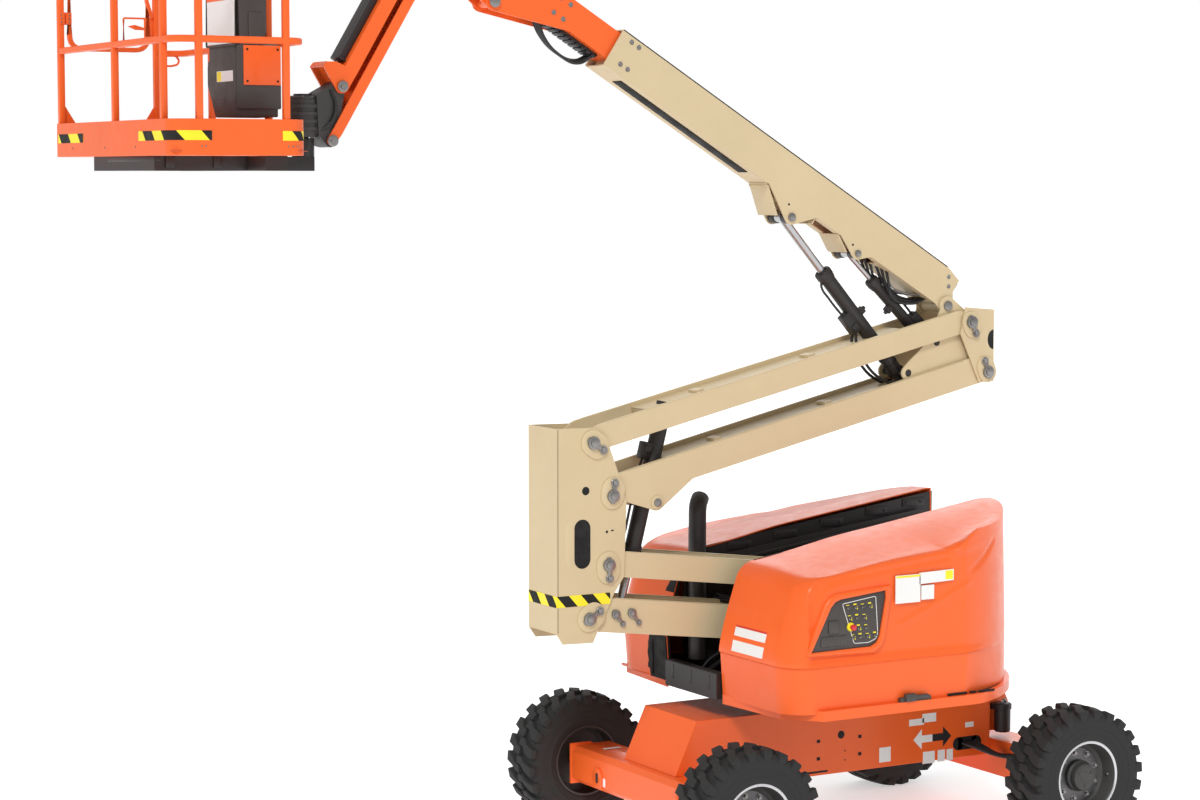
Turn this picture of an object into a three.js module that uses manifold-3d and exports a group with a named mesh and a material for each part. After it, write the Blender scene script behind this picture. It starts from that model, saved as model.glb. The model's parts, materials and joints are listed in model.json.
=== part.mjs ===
// Articulating boom lift: a four-wheeled chassis, a slewing turret with two hoods, a folding tower of two
// parallelogram arm pairs, a telescopic main boom, a jib and a work platform.
// Millimetres. +Z is up, the booms point towards -X, and the near side of the machine is -Y.
import * as THREE from 'three';
import { mergeVertices } from 'three/addons/utils/BufferGeometryUtils.js';
import Module from 'manifold-3d';

const wasm = await Module();
wasm.setup();

// ---------------------------------------------------------------- driving dimensions
// Fits
const seatGap = 0.3;          // between faces that rest on each other
const pinFit = 0.5;           // round a pin in its hole
const washerGap = 0.6;        // between a pin's head, or a hub, and the plate beside it
const runningGap = 5;         // between bodies that move past each other

// Chassis and wheels
const wheelbase = 2330;
const overallWidth = 2220;
const tyreDiameter = 830;
const tyreWidth = 310;
const rimRadius = 216;
const rimWall = 14;
const rimWidth = 270;
const hubRadius = 95;
const hubReach = 112;         // from the middle of the tyre to the hub cap's face
const spindleRadius = 60;
const chassisHalfWidth = 290;
const chassisTop = 840;
const chassisBottom = 430;
const chassisEnd = 1050;      // face that meets the steered axle
const axleBeamBottom = 310;
const axleBeamTop = 530;
const axleBeamWidth = 270;
const kingpinY = 700;
const kingpinRadius = 25;
const steerArm = 165;
const bearingRadius = 285;
const bearingHeight = 109.5;

// Turret
const deckBottom = 950;
const deckThickness = 35;
const tailRadius = 1130;
const hoodInnerY = 300;
const hoodOuterY = 1050;
const hoodFrontX = -930;
const hoodBottom = 962;
const hoodFrontTop = 1775;    // height of the inner top edge at hoodRidgeX
const hoodRidgeX = -700;
const hoodRise = 0.15;        // slope of the top edge towards the tail
const hoodWall = 8;
const hoodCorner = 210;       // radius of its front and upper corners
const corridorWallY = 262;
const corridorWall = 8;

// Tower arms. The pins of a pair of arms stand off by the same offset at both ends.
const turretPin = [962, 1132];
const lowerArmLength = 2700;
const lowerArmPitch = 7.2;    // degrees above level, towards -X
const lowerPairOffset = [126, 301];
const uprightPinOffset = [153, 693];
const upperArmLength = 2728;
const upperArmPitch = 13;     // degrees above level, towards +X
const upperPairOffset = [-128, 308];
const plateOuterY = 165;      // side plates of the upright and the knuckle
const plateThickness = 8;
const pedestalOuterY = 177;   // outer face of the turret's plates, which share the inner face of the others
const armOuterY = 152;
const armBar = 22;
const armPinRadius = 22;
const earOuterY = 125;
const earThickness = 12;

// Main boom, fly boom and jib
const boomPivotOffset = [-274, 409];  // from the knuckle's lower pin
const boomPitch = 31;
const boomHalfWidth = 108;
const boomWall = 10;
const boomLength = 2780;
const boomTop = 210;          // above the pivot, square to the boom
const boomBottom = -27;
const liftEye = [1253, -115]; // along the boom from its pivot, and square to it
const levelEye = [733, -59];
const flyHalfWidth = 85;
const flyWall = 6;
const flyTop = 187;
const flyBottom = 18;
const flyTail = 300;
const flyEnd = 3330;
const nosePin = [3547, -96];
const jibUpperPinOffset = [-281, 583];  // from the nose pin
const jibPairOffset = [60, 290];
const jibLength = 1240;
const jibPitch = 59;
const jibOuterY = 90;
const jibPlate = 12;

// Cylinders: pins on the knuckle are measured from its lower pin
const liftBasePin = [-564, 9];
const levelBasePin = [-354, 189];
const trunnion = [283, -123];  // on the lower bar of the upper pair, along it and square to it
const towerEye = [291, 49];    // on the lower arm, along it and square to it
const jibEye = [800, -20];     // on the jib arm, from its upper pin

// Platform
const rotatorOffset = -190;    // from the jib head's upper pin
const platformInner = -338;    // face nearest the jib, from the rotator
const platformDepth = 735;
const platformLength = 1720;
const platformBottom = -375;   // below the jib head's upper pin
const toeBoardHeight = 180;
const midRail = 195;
const topRail = 735;
const railRadius = 17;
const platformCorner = 110;
const platformFarCorner = 12;
const floorThickness = 22;

const wheelSegments = 28;

// ---------------------------------------------------------------- finishes
const paint = (color, roughness, metalness) => new THREE.MeshStandardMaterial({ color, roughness, metalness });
const orange = paint(0xf3703c, 0.35, 0.0);
const tan = paint(0xd1bd94, 0.45, 0.0);
const black = paint(0x2c2b2a, 0.55, 0.2);
const rubber = paint(0x232323, 0.85, 0.0);
const steel = paint(0x8d8f92, 0.3, 0.9);
const castIron = paint(0x3a3938, 0.6, 0.4);

// ---------------------------------------------------------------- solids
/** A manifold solid from a three.js geometry. */
function solid(geometry) {
  const bare = geometry.clone();
  bare.deleteAttribute('normal');
  bare.deleteAttribute('uv');
  const merged = mergeVertices(bare, 1e-4);
  return new wasm.Manifold(new wasm.Mesh({
    numProp: 3,
    vertProperties: new Float32Array(merged.attributes.position.array),
    triVerts: new Uint32Array(merged.index.array),
  }));
}

/** All the given solids as one. */
const join = (...solids) => solids.reduce((sum, next) => sum.add(next));

/** A solid with the others taken out of it. */
const cut = (body, ...tools) => tools.reduce((rest, tool) => rest.subtract(tool), body);

/** A named mesh of a solid, put in a group. */
function piece(group, name, body, material) {
  const mesh = body.getMesh();
  const geometry = new THREE.BufferGeometry();
  geometry.setAttribute('position', new THREE.BufferAttribute(new Float32Array(mesh.vertProperties), 3));
  geometry.setIndex(new THREE.BufferAttribute(new Uint32Array(mesh.triVerts), 1));
  geometry.computeVertexNormals();
  const part = new THREE.Mesh(geometry, material);
  part.name = name;
  group.add(part);
  return part;
}

/** A block between two opposite corners. */
function block(x0, x1, y0, y1, z0, z1) {
  const geometry = new THREE.BoxGeometry(x1 - x0, y1 - y0, z1 - z0);
  geometry.translate((x0 + x1) / 2, (y0 + y1) / 2, (z0 + z1) / 2);
  return solid(geometry);
}

/** The same block on both sides of the machine. */
const blocks = (x0, x1, y0, y1, z0, z1) =>
  join(block(x0, x1, y0, y1, z0, z1), block(x0, x1, -y1, -y0, z0, z1));

/** A round bar along Y. */
function bar(x, z, radius, y0, y1, sides = 12) {
  const geometry = new THREE.CylinderGeometry(radius, radius, y1 - y0, sides);
  geometry.translate(x, (y0 + y1) / 2, z);
  return solid(geometry);
}

/** The same round bar on both sides of the machine. */
const bars = (x, z, radius, y0, y1, sides = 12) =>
  join(bar(x, z, radius, y0, y1, sides), bar(x, z, radius, -y1, -y0, sides));

/** The room along Y for a round pin: its flats stand clear of the pin whichever way the pin is turned. */
const hole = (x, z, radius, y0, y1, sides = 12) => bar(x, z, (radius + pinFit) / Math.cos(Math.PI / sides), y0, y1, sides);

/** A round bar along X. */
function rod(x0, x1, radius, y = 0, z = 0, sides = 16) {
  const geometry = new THREE.CylinderGeometry(radius, radius, x1 - x0, sides);
  geometry.rotateZ(Math.PI / 2);
  geometry.translate((x0 + x1) / 2, y, z);
  return solid(geometry);
}

/** A round post along Z. */
function post(x, y, radius, z0, z1, sides = 20) {
  const geometry = new THREE.CylinderGeometry(radius, radius, z1 - z0, sides);
  geometry.rotateX(Math.PI / 2);
  geometry.translate(x, y, (z0 + z1) / 2);
  return solid(geometry);
}

/** An outline in X and Z, as a plate from y0 to y1. */
function plate(shape, y0, y1, curveSegments = 4) {
  const geometry = new THREE.ExtrudeGeometry(shape, { depth: y1 - y0, bevelEnabled: false, curveSegments });
  geometry.rotateX(Math.PI / 2);
  geometry.translate(0, y1, 0);
  return solid(geometry);
}

/** The same plate on both sides of the machine. */
const plates = (shape, y0, y1) => join(plate(shape, y0, y1), plate(shape, -y1, -y0));

/** An outline in X and Y, as a slab from z0 to z1. */
function slab(shape, z0, z1, curveSegments = 4) {
  const geometry = new THREE.ExtrudeGeometry(shape, { depth: z1 - z0, bevelEnabled: false, curveSegments });
  geometry.translate(0, 0, z0);
  return solid(geometry);
}

/** A closed outline through points. */
const outline = (...points) => new THREE.Shape(points.map(([u, v]) => new THREE.Vector2(u, v)));

/** The outline of a belt pulled tight round circles, each [u, v, radius]. */
function belt(...circles) {
  const steps = 16;
  const points = circles.flatMap(([u, v, radius]) => Array.from({ length: steps }, (_, i) => {
    const angle = (i / steps) * 2 * Math.PI;
    return [u + radius * Math.cos(angle), v + radius * Math.sin(angle)];
  }));
  points.sort((a, b) => a[0] - b[0] || a[1] - b[1]);
  const turn = (a, b, c) => (b[0] - a[0]) * (c[1] - a[1]) - (b[1] - a[1]) * (c[0] - a[0]);
  const half = (list) => {
    const chain = [];
    for (const point of list) {
      while (chain.length > 1 && turn(chain.at(-2), chain.at(-1), point) <= 1e-6) chain.pop();
      chain.push(point);
    }
    return chain.slice(0, -1);
  };
  return outline(...half(points), ...half(points.reverse()));
}

/** A ring turned about Y from a closed profile of [radius, y] points. */
function ring(profile, segments = wheelSegments) {
  const points = [...profile, profile[0]].map(([radius, y]) => new THREE.Vector2(radius, y));
  return solid(new THREE.LatheGeometry(points, segments));
}

/** A rectangle with round corners, in any plane. */
function roundedRectangle(u0, u1, v0, v1, radius) {
  const shape = new THREE.Shape();
  shape.moveTo(u0 + radius, v0);
  shape.lineTo(u1 - radius, v0);
  shape.absarc(u1 - radius, v0 + radius, radius, -Math.PI / 2, 0);
  shape.lineTo(u1, v1 - radius);
  shape.absarc(u1 - radius, v1 - radius, radius, 0, Math.PI / 2);
  shape.lineTo(u0 + radius, v1);
  shape.absarc(u0 + radius, v1 - radius, radius, Math.PI / 2, Math.PI);
  shape.lineTo(u0, v0 + radius);
  shape.absarc(u0 + radius, v0 + radius, radius, Math.PI, 1.5 * Math.PI);
  return shape;
}

/** A solid moved by a vector. */
const moved = (body, x, y, z) => body.translate([x, y, z]);

/** A solid turned inside out of its mirror image across the XZ plane. */
const mirrored = (body) => body.mirror([0, 1, 0]);

// ---------------------------------------------------------------- places in the plane of the booms
const radians = (degrees) => THREE.MathUtils.degToRad(degrees);
const add = ([x, z], [dx, dz]) => [x + dx, z + dz];
const between = (a, b, share) => [a[0] + (b[0] - a[0]) * share, a[1] + (b[1] - a[1]) * share];
const distance = (a, b) => Math.hypot(b[0] - a[0], b[1] - a[1]);
const heading = (a, b) => THREE.MathUtils.radToDeg(Math.atan2(b[1] - a[1], b[0] - a[0]));
/** A point at a length and an angle above +X from another. */
const polar = (origin, length, degrees) =>
  add(origin, [length * Math.cos(radians(degrees)), length * Math.sin(radians(degrees))]);
/** A place given in a frame that is turned by an angle above +X. */
const local = (origin, degrees, [along, square]) => polar(polar(origin, along, degrees), square, degrees + 90);

const axleZ = tyreDiameter / 2;
const fixedAxleX = -wheelbase / 2;
const steeredAxleX = wheelbase / 2;
const tyreMidY = overallWidth / 2 - tyreWidth / 2;
const deckTop = deckBottom + deckThickness;

const lowerMainPin = polar(turretPin, lowerArmLength, 180 - lowerArmPitch);
const turretLinkPin = add(turretPin, lowerPairOffset);
const lowerLinkPin = add(lowerMainPin, lowerPairOffset);
const upperMainPin = add(lowerMainPin, uprightPinOffset);
const upperLinkPin = add(upperMainPin, upperPairOffset);
const knucklePin = polar(upperMainPin, upperArmLength, upperArmPitch);
const knuckleLinkPin = add(knucklePin, upperPairOffset);
const boomPivot = add(knucklePin, boomPivotOffset);
const liftBase = add(knucklePin, liftBasePin);
const levelBase = add(knucklePin, levelBasePin);
const boomHeading = 180 - boomPitch;
/** A place on the boom: along it from the pivot, and above it. */
const onBoom = ([along, square]) => add(polar(boomPivot, along, boomHeading), polar([0, 0], square, boomHeading - 90));
const liftEyePlace = onBoom(liftEye);
const levelEyePlace = onBoom(levelEye);
const noseJoint = onBoom(nosePin);
const jibUpperPin = add(noseJoint, jibUpperPinOffset);
const jibLowerPin = add(jibUpperPin, [-jibPairOffset[0], -jibPairOffset[1]]);
const headUpperPin = polar(jibUpperPin, -jibLength, jibPitch);
const headLowerPin = polar(jibLowerPin, -jibLength, jibPitch);
const jibBasePin = between(jibUpperPin, jibLowerPin, 0.5);
const trunnionPlace = local(upperMainPin, upperArmPitch, trunnion);
const towerEyePlace = local(lowerMainPin, -lowerArmPitch, towerEye);
const jibEyePlace = local(jibUpperPin, jibPitch, [-jibEye[0], jibEye[1]]);
const rotator = [headUpperPin[0] + rotatorOffset, headUpperPin[1]];

const machine = new THREE.Group();

/** A group placed at a point of the boom plane and turned by an angle above +X. */
function frame(place, degrees = 0) {
  const group = new THREE.Group();
  group.position.set(place[0], 0, place[1]);
  group.rotation.y = -radians(degrees);
  machine.add(group);
  return group;
}

// ---------------------------------------------------------------- chassis and wheels
function chassisFrame() {
  const beamFront = fixedAxleX + axleBeamWidth / 2;
  const side = outline(
    [beamFront - 187, axleBeamTop + seatGap],
    [beamFront - 43, chassisTop],
    [chassisEnd, chassisTop],
    [chassisEnd, chassisBottom],
    [beamFront + seatGap, chassisBottom],
    [beamFront + seatGap, axleBeamTop + seatGap],
  );
  const tailLug = block(chassisEnd - 40, chassisEnd, -110, 110, chassisBottom - 40, chassisBottom + 20);
  return join(plate(side, -chassisHalfWidth, chassisHalfWidth), tailLug);
}

function axleBeam(endY) {
  const half = axleBeamWidth / 2;
  const chamfer = 30;
  const section = outline(
    [-half, axleBeamBottom + chamfer], [-half, axleBeamTop - chamfer], [-half + chamfer, axleBeamTop],
    [half, axleBeamTop], [half, axleBeamBottom], [-half + chamfer, axleBeamBottom],
  );
  return plate(section, -endY, endY);
}

function fixedAxle() {
  const beamEnd = 790;
  const flange = bars(0, axleZ, 120, beamEnd - 1, beamEnd + 30);
  const spindles = bars(0, axleZ, spindleRadius, beamEnd, tyreMidY - 10);
  return join(axleBeam(beamEnd), flange, spindles);
}

function steeredAxle() {
  const beamEnd = 570;
  const forkPlate = 30;
  const forkShape = belt([0, kingpinY, 60], [-55, beamEnd - 5, 10], [55, beamEnd - 5, 10]);
  const fork = slab(forkShape, axleBeamTop - forkPlate, axleBeamTop);
  const lowFork = slab(forkShape, axleBeamBottom, axleBeamBottom + forkPlate);
  const forks = join(fork, lowFork, mirrored(fork), mirrored(lowFork));
  const kingpinHoles = join(
    post(0, kingpinY, kingpinRadius + 2 * pinFit, axleBeamBottom - 1, axleBeamTop + 1),
    post(0, -kingpinY, kingpinRadius + 2 * pinFit, axleBeamBottom - 1, axleBeamTop + 1),
  );
  const cylinderY = 220;
  const cylinder = cut(
    join(bar(steerArm, axleZ, 36, -cylinderY, cylinderY), block(100, steerArm, -60, 60, axleZ - 20, axleZ + 20)),
    hole(steerArm, axleZ, 14, -cylinderY - 1, cylinderY + 1),
  );
  const beam = plate(outline(
    [-115 + seatGap, axleBeamBottom], [-115 + seatGap, axleBeamTop],
    [115, axleBeamTop], [115, axleBeamBottom],
  ), -beamEnd, beamEnd);
  return join(cut(join(beam, forks), kingpinHoles), cylinder);
}

/** The near knuckle of the steered axle, about its own kingpin. */
function steeringKnuckle() {
  const headTop = axleBeamTop - 30 - runningGap;
  const headBottom = axleBeamBottom + 30 + runningGap;
  const head = post(0, 0, 60, headBottom, headTop);
  const kingpin = post(0, 0, kingpinRadius, axleBeamBottom + 2, axleBeamTop - 2);
  const spindleStart = -(tyreMidY - 10 - kingpinY);
  const motor = join(
    bar(0, axleZ, 75, -100, -40),
    bar(0, axleZ, 110, -135, -95),
    bar(0, axleZ, spindleRadius, spindleStart, -130),
  );
  const arm = join(block(30, steerArm, -22, 22, axleZ + 22, axleZ + 44), post(steerArm, 0, 24, axleZ + 22, axleZ + 44));
  return join(head, kingpin, motor, arm);
}

/** A tyre about its own middle, with its outer side towards -Y. */
function tyre() {
  const radius = tyreDiameter / 2;
  const half = tyreWidth / 2;
  const bead = rimRadius + seatGap;
  return ring([
    [bead, -half + 20], [bead + 75, -half], [radius - 50, -half + 3], [radius, -half + 32],
    [radius, half - 32], [radius - 50, half - 3], [bead + 75, half], [bead, half - 20],
  ]);
}

/** A rim with its hub, outer side towards -Y. */
function rim() {
  const half = rimWidth / 2;
  const barrelInner = rimRadius - rimWall;
  const profile = [
    [rimRadius, -half], [rimRadius, half], [barrelInner, half],
    [barrelInner, 40], [hubRadius + 10, 10], [spindleRadius + pinFit, 10],
    [spindleRadius + pinFit, -40], [0, -40], [0, -hubReach],
    [hubRadius, -hubReach], [hubRadius, -20],
    [barrelInner, -10], [barrelInner, -half],
  ];
  const points = [...profile, profile[0]].map(([radius, y]) => new THREE.Vector2(radius, y));
  return solid(new THREE.LatheGeometry(points, wheelSegments));
}

function wheels() {
  for (const [axle, x] of [['fixed', fixedAxleX], ['steered', steeredAxleX]]) {
    for (const [side, sign] of [['near', -1], ['far', 1]]) {
      const wheel = new THREE.Group();
      wheel.position.set(x, sign * tyreMidY, axleZ);
      wheel.rotation.z = side === 'near' ? 0 : Math.PI;
      machine.add(wheel);
      piece(wheel, `tyre_${axle}_${side}`, tyre(), rubber);
      piece(wheel, `rim_${axle}_${side}`, rim(), castIron);
    }
  }
}

function chassis() {
  piece(machine, 'chassis_frame', chassisFrame(), orange);
  const fixed = frame([fixedAxleX, 0]);
  piece(fixed, 'fixed_axle', fixedAxle(), orange);
  const steered = frame([steeredAxleX, 0]);
  piece(steered, 'steered_axle', steeredAxle(), orange);
  const bearing = cut(
    post(0, 0, bearingRadius, chassisTop + seatGap, chassisTop + bearingHeight),
    post(0, 0, bearingRadius - 85, chassisTop, chassisTop + bearingHeight + 1),
  );
  piece(machine, 'swing_bearing', bearing, black);
  for (const [side, sign] of [['near', -1], ['far', 1]]) {
    const knuckle = new THREE.Group();
    knuckle.position.set(steeredAxleX, sign * kingpinY, 0);
    machine.add(knuckle);
    piece(knuckle, `steering_knuckle_${side}`, sign < 0 ? steeringKnuckle() : mirrored(steeringKnuckle()), castIron);
  }
  const tieRod = join(
    bar(steerArm, axleZ, 14, -kingpinY, kingpinY),
    bars(steerArm, axleZ, 20, kingpinY - 24, kingpinY + 20),
  );
  piece(steered, 'tie_rod', tieRod, steel);
  wheels();
}

// ---------------------------------------------------------------- turret
/** The plan of the turret between two half widths, with its round tail. */
function turretPlan(innerY, outerY, frontX, radius, side) {
  const tail = (y) => Math.sqrt(radius * radius - y * y);
  const steps = 8;
  const arc = Array.from({ length: steps + 1 }, (_, i) => {
    const y = innerY + (outerY - innerY) * (i / steps);
    return [tail(y), side * y];
  });
  return outline([frontX, side * innerY], ...arc, [frontX, side * outerY]);
}

function turntableFrame() {
  const tail = (y) => Math.sqrt((tailRadius - 20) ** 2 - y * y);
  const deckY = hoodOuterY - hoodWall - washerGap;
  const steps = 12;
  const arc = Array.from({ length: steps + 1 }, (_, i) => {
    const y = -deckY + (2 * deckY * i) / steps;
    return [tail(y), y];
  });
  const deck = slab(outline(
    [-860, -860], [-700, -deckY], ...arc, [-700, deckY], [-860, 860], [-905, 285], [-935, 285], [-935, -285], [-905, -285],
  ), deckBottom, deckTop);
  const sill = block(-935, -870, -285, 285, deckTop - 1, deckTop + 115);
  const wallShape = outline([-700, deckTop - 1], [-700, 1690], [940, 1900], [940, deckTop - 1]);
  const wallNotches = block(595, 765, -300, 300, deckTop, deckTop + 45);
  const walls = cut(plates(wallShape, corridorWallY, corridorWallY + corridorWall), wallNotches);
  const pedestalShape = belt(
    [...turretLinkPin, 66], [...turretPin, 76], [turretPin[0] - 60, deckTop, 2], [turretLinkPin[0] + 52, deckTop, 2],
  );
  const plateInner = plateOuterY - plateThickness;
  const pedestal = plates(pedestalShape, plateInner, pedestalOuterY);
  const holes = join(
    hole(...turretPin, armPinRadius, -200, 200),
    hole(...turretLinkPin, armPinRadius, -200, 200),
  );
  return join(deck, sill, walls, cut(pedestal, holes));
}

function counterweight() {
  const plan = turretPlan(hoodInnerY, 860, 600, tailRadius - 60, -1);
  const sideBlock = slab(plan, deckTop + seatGap, 1330);
  const bridge = block(600, 760, -hoodInnerY - 1, hoodInnerY + 1, deckTop + seatGap, deckTop + 40);
  return join(sideBlock, mirrored(sideBlock), bridge);
}

/** The outside of a hood, or its inside when it is drawn in by a wall. */
function hoodForm(side, inset) {
  const innerY = hoodInnerY + inset;
  const outerY = hoodOuterY - inset;
  const front = hoodFrontX + inset;
  const tail = tailRadius - inset;
  const corner = hoodCorner - inset;
  const bottom = hoodBottom - (inset > 0 ? 20 : 0);
  const ridge = hoodFrontTop - inset;
  const rear = 1200;
  const rearTop = ridge + hoodRise * (rear - hoodRidgeX);

  const plan = new THREE.Shape();
  plan.moveTo(front, side * innerY);
  for (let i = 0; i <= 6; i += 1) {
    const y = innerY + (outerY - innerY) * (i / 6);
    plan.lineTo(Math.sqrt(tail * tail - y * y), side * y);
  }
  for (let i = 0; i <= 5; i += 1) {
    const angle = (i / 5) * (Math.PI / 2);
    plan.lineTo(front + corner * (1 - Math.sin(angle)), side * (outerY - corner * (1 - Math.cos(angle))));
  }
  const profile = outline(
    [front, bottom], [front - 12, 1190], [front + 40, 1400], [front + 85, 1560], [front + 150, 1680],
    [hoodRidgeX, ridge], [rear, rearTop], [rear, bottom],
  );
  const crown = new THREE.Shape();
  crown.moveTo(side * innerY, -1500);
  crown.lineTo(side * outerY, -1500);
  for (let i = 0; i <= 5; i += 1) {
    const angle = (i / 5) * (Math.PI / 2);
    crown.lineTo(side * (outerY - corner * (1 - Math.cos(angle))), corner * (Math.sin(angle) - 1));
  }
  crown.lineTo(side * innerY, 0);
  const arch = new THREE.ExtrudeGeometry(crown, { depth: 2600, bevelEnabled: false });
  arch.rotateX(Math.PI / 2);
  arch.rotateZ(Math.PI / 2);
  const slope = new THREE.Matrix4().makeShear(0, hoodRise, 0, 0, 0, 0);
  arch.translate(-1300 - hoodRidgeX, 0, 0);
  arch.applyMatrix4(slope);
  arch.translate(hoodRidgeX, 0, ridge);
  return slab(plan, bottom, 2300).intersect(plate(profile, -1200, 1200)).intersect(solid(arch));
}

function hood(side) {
  const shell = cut(hoodForm(side, 0), hoodForm(side, hoodWall));
  const doorway = side < 0
    ? block(-1000, 1200, -hoodInnerY - hoodWall - 1, -hoodInnerY + 1, hoodBottom - 1, 1700)
    : block(-1000, 1200, hoodInnerY - 1, hoodInnerY + hoodWall + 1, hoodBottom - 1, 1700);
  return cut(shell, doorway);
}

function controlPanel() {
  const face = block(-745, -285, -1020, -1002, 1315, 1560);
  const stand = block(-560, -470, -1003, -950, deckTop + seatGap, 1500);
  return join(face, stand);
}

function exhaustPipe() {
  const path = new THREE.CatmullRomCurve3([
    new THREE.Vector3(-750, 232, deckTop + seatGap),
    new THREE.Vector3(-750, 232, 1400),
    new THREE.Vector3(-750, 232, 1900),
    new THREE.Vector3(-745, 232, 2010),
    new THREE.Vector3(-700, 232, 2085),
  ]);
  const section = new THREE.Shape().absarc(0, 0, 26, 0, 2 * Math.PI);
  const geometry = new THREE.ExtrudeGeometry(section, { extrudePath: path, steps: 10, curveSegments: 6 });
  return solid(geometry);
}

function turret() {
  piece(machine, 'turntable_frame', turntableFrame(), black);
  piece(machine, 'counterweight', counterweight(), castIron);
  const engine = block(-450, 450, hoodInnerY + 40, 860, deckTop + seatGap, 1480);
  piece(machine, 'engine_block', engine, castIron);
  piece(machine, 'exhaust_pipe', exhaustPipe(), black);
  const opening = block(-740, -290, -1100, -900, 1320, 1620);
  piece(machine, 'near_hood', cut(hood(-1), opening), orange);
  piece(machine, 'far_hood', hood(1), orange);
  piece(machine, 'control_panel', controlPanel(), black);
}

// ---------------------------------------------------------------- tower
/**
 * A pair of bars with round ends about their pins, tied by tubes; above and below are its depths.
 * The heads of the pins at the far end stand outside a plate whose face is at endPlateY.
 */
function armPair(length, above, below, tubes, endPlateY = plateOuterY) {
  const lift = (above - below) / 2;
  const half = (above + below) / 2;
  const shape = belt([0, 0, below + 4], [75, lift, half], [length - 75, lift, half], [length, 0, below + 4]);
  const beams = plates(shape, armOuterY - armBar, armOuterY);
  const pins = [[0, plateOuterY], [length, endPlateY]].map(([x, plateY]) => join(
    bar(x, 0, 42, -armOuterY + 1, armOuterY - 1),
    bars(x, 0, armPinRadius, armOuterY - 1, plateY + 3),
    bars(x, 0, 34, plateY + washerGap, plateY + 13),
  ));
  const ties = tubes.map((x) => bar(x, lift, 30, -armOuterY + 1, armOuterY - 1));
  return join(beams, ...pins, ...ties);
}

function lowerArm() {
  const arm = armPair(lowerArmLength, 125, 69, [1400], pedestalOuterY);
  const [x, z] = towerEye;
  const lug = belt([x, z, 36], [x - 90, -60, 4], [x + 90, -60, 4]);
  const floor = block(x - 110, x + 110, -armOuterY + 2, armOuterY - 2, -68, -54);
  return join(arm, plates(lug, 46, 58), floor, bars(x, z, 18, 57, armOuterY - 2));
}

function upperArm() {
  const gusset = belt([trunnion[0], trunnion[1], 48], [60, 0, 40], [600, 10, 40]);
  const arm = join(armPair(upperArmLength, 110, 52, [1300]), plates(gusset, armOuterY - armBar, armOuterY));
  return cut(arm, hole(...trunnion, 25, -200, 200));
}

function upright() {
  const frontX = lowerMainPin[0] - 208;
  const side = outline(
    [frontX, lowerMainPin[1] + 1090], [frontX + 258, lowerMainPin[1] + 1086],
    [upperLinkPin[0] + 113, upperLinkPin[1] - 32], [upperMainPin[0] + 44, upperMainPin[1] + 121],
    [upperMainPin[0] + 95, upperMainPin[1] - 40], [lowerLinkPin[0] + 106, lowerLinkPin[1] - 75],
    [lowerLinkPin[0] + 40, lowerLinkPin[1] - 170], [lowerMainPin[0] + 61, lowerMainPin[1] - 73],
    [lowerMainPin[0] + 28, lowerMainPin[1] - 140], [lowerMainPin[0] - 167, lowerMainPin[1] - 134],
    [frontX, lowerMainPin[1] - 74],
  );
  const sides = plates(side, plateOuterY - plateThickness, plateOuterY);
  const front = block(
    frontX, frontX + plateThickness, -plateOuterY + 1, plateOuterY - 1, lowerMainPin[1] - 74, lowerMainPin[1] + 1089,
  );
  const holes = [lowerMainPin, lowerLinkPin, upperMainPin, upperLinkPin].map(([x, z]) => hole(x, z, armPinRadius, -200, 200));
  const slot = plate(belt([frontX + 100, 1990, 42], [frontX + 100, 1815, 42]), -200, 200);
  return cut(join(sides, front), ...holes, slot);
}

function knuckle() {
  const [x, z] = knucklePin;
  const [linkX, linkZ] = knuckleLinkPin;
  const side = outline(
    [x + 51, z - 59], [x + 51, z + 381], [linkX - 40, z + 400], [linkX - 75, linkZ - 70], [x - 62, z - 61],
  );
  const sides = plates(side, plateOuterY - plateThickness, plateOuterY);
  const [pivotX, pivotZ] = boomPivot;
  const ear = belt([pivotX, pivotZ, 58], [linkX - 20, linkZ + 70, 6], [x + 20, z + 215, 20], [x - 220, z + 120, 30]);
  const bracket = belt([...liftBase, 48], [...levelBase, 50], [x - 60, z + 160, 60], [x - 150, z + 60, 30]);
  const bridge = belt([...levelBase, 50], [pivotX, pivotZ, 40], [linkX - 60, linkZ - 20, 40], [x - 60, z + 160, 60]);
  const ears = join(
    plates(ear, earOuterY - earThickness, earOuterY), plates(bracket, earOuterY - earThickness, earOuterY),
    plates(bridge, earOuterY - earThickness, earOuterY),
  );
  const tubes = join(
    bar(x - 28, z + 165, 34, -plateOuterY + 1, plateOuterY - 1),
    bar(x - 110, z + 120, 24, -earOuterY + 1, earOuterY - 1),
  );
  const pins = [knucklePin, knuckleLinkPin, boomPivot, liftBase, levelBase];
  const holes = pins.map(([px, pz]) => hole(px, pz, armPinRadius, -200, 200));
  const armRooms = [knucklePin, knuckleLinkPin].map(([px, pz]) =>
    bars(px, pz, 46 + runningGap, earOuterY - 20, plateOuterY - plateThickness));
  const innerRooms = [knucklePin, knuckleLinkPin].map(([px, pz]) => bar(px, pz, 47, -earOuterY - 1, earOuterY + 1));
  return cut(join(sides, cut(ears, ...innerRooms), tubes), ...holes, ...armRooms);
}

function tower() {
  const lowerFrame = frame(lowerMainPin, -lowerArmPitch);
  piece(lowerFrame, 'lower_arm', lowerArm(), tan);
  const lowerLinkFrame = frame(lowerLinkPin, -lowerArmPitch);
  piece(lowerLinkFrame, 'lower_link', armPair(lowerArmLength, 80, 63, [1400], pedestalOuterY), tan);
  piece(machine, 'upright', upright(), tan);
  piece(frame(upperMainPin, upperArmPitch), 'upper_arm', upperArm(), tan);
  piece(frame(upperLinkPin, upperArmPitch), 'upper_link', armPair(upperArmLength, 87, 52, [1150]), tan);
  piece(machine, 'knuckle', knuckle(), tan);
}

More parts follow.
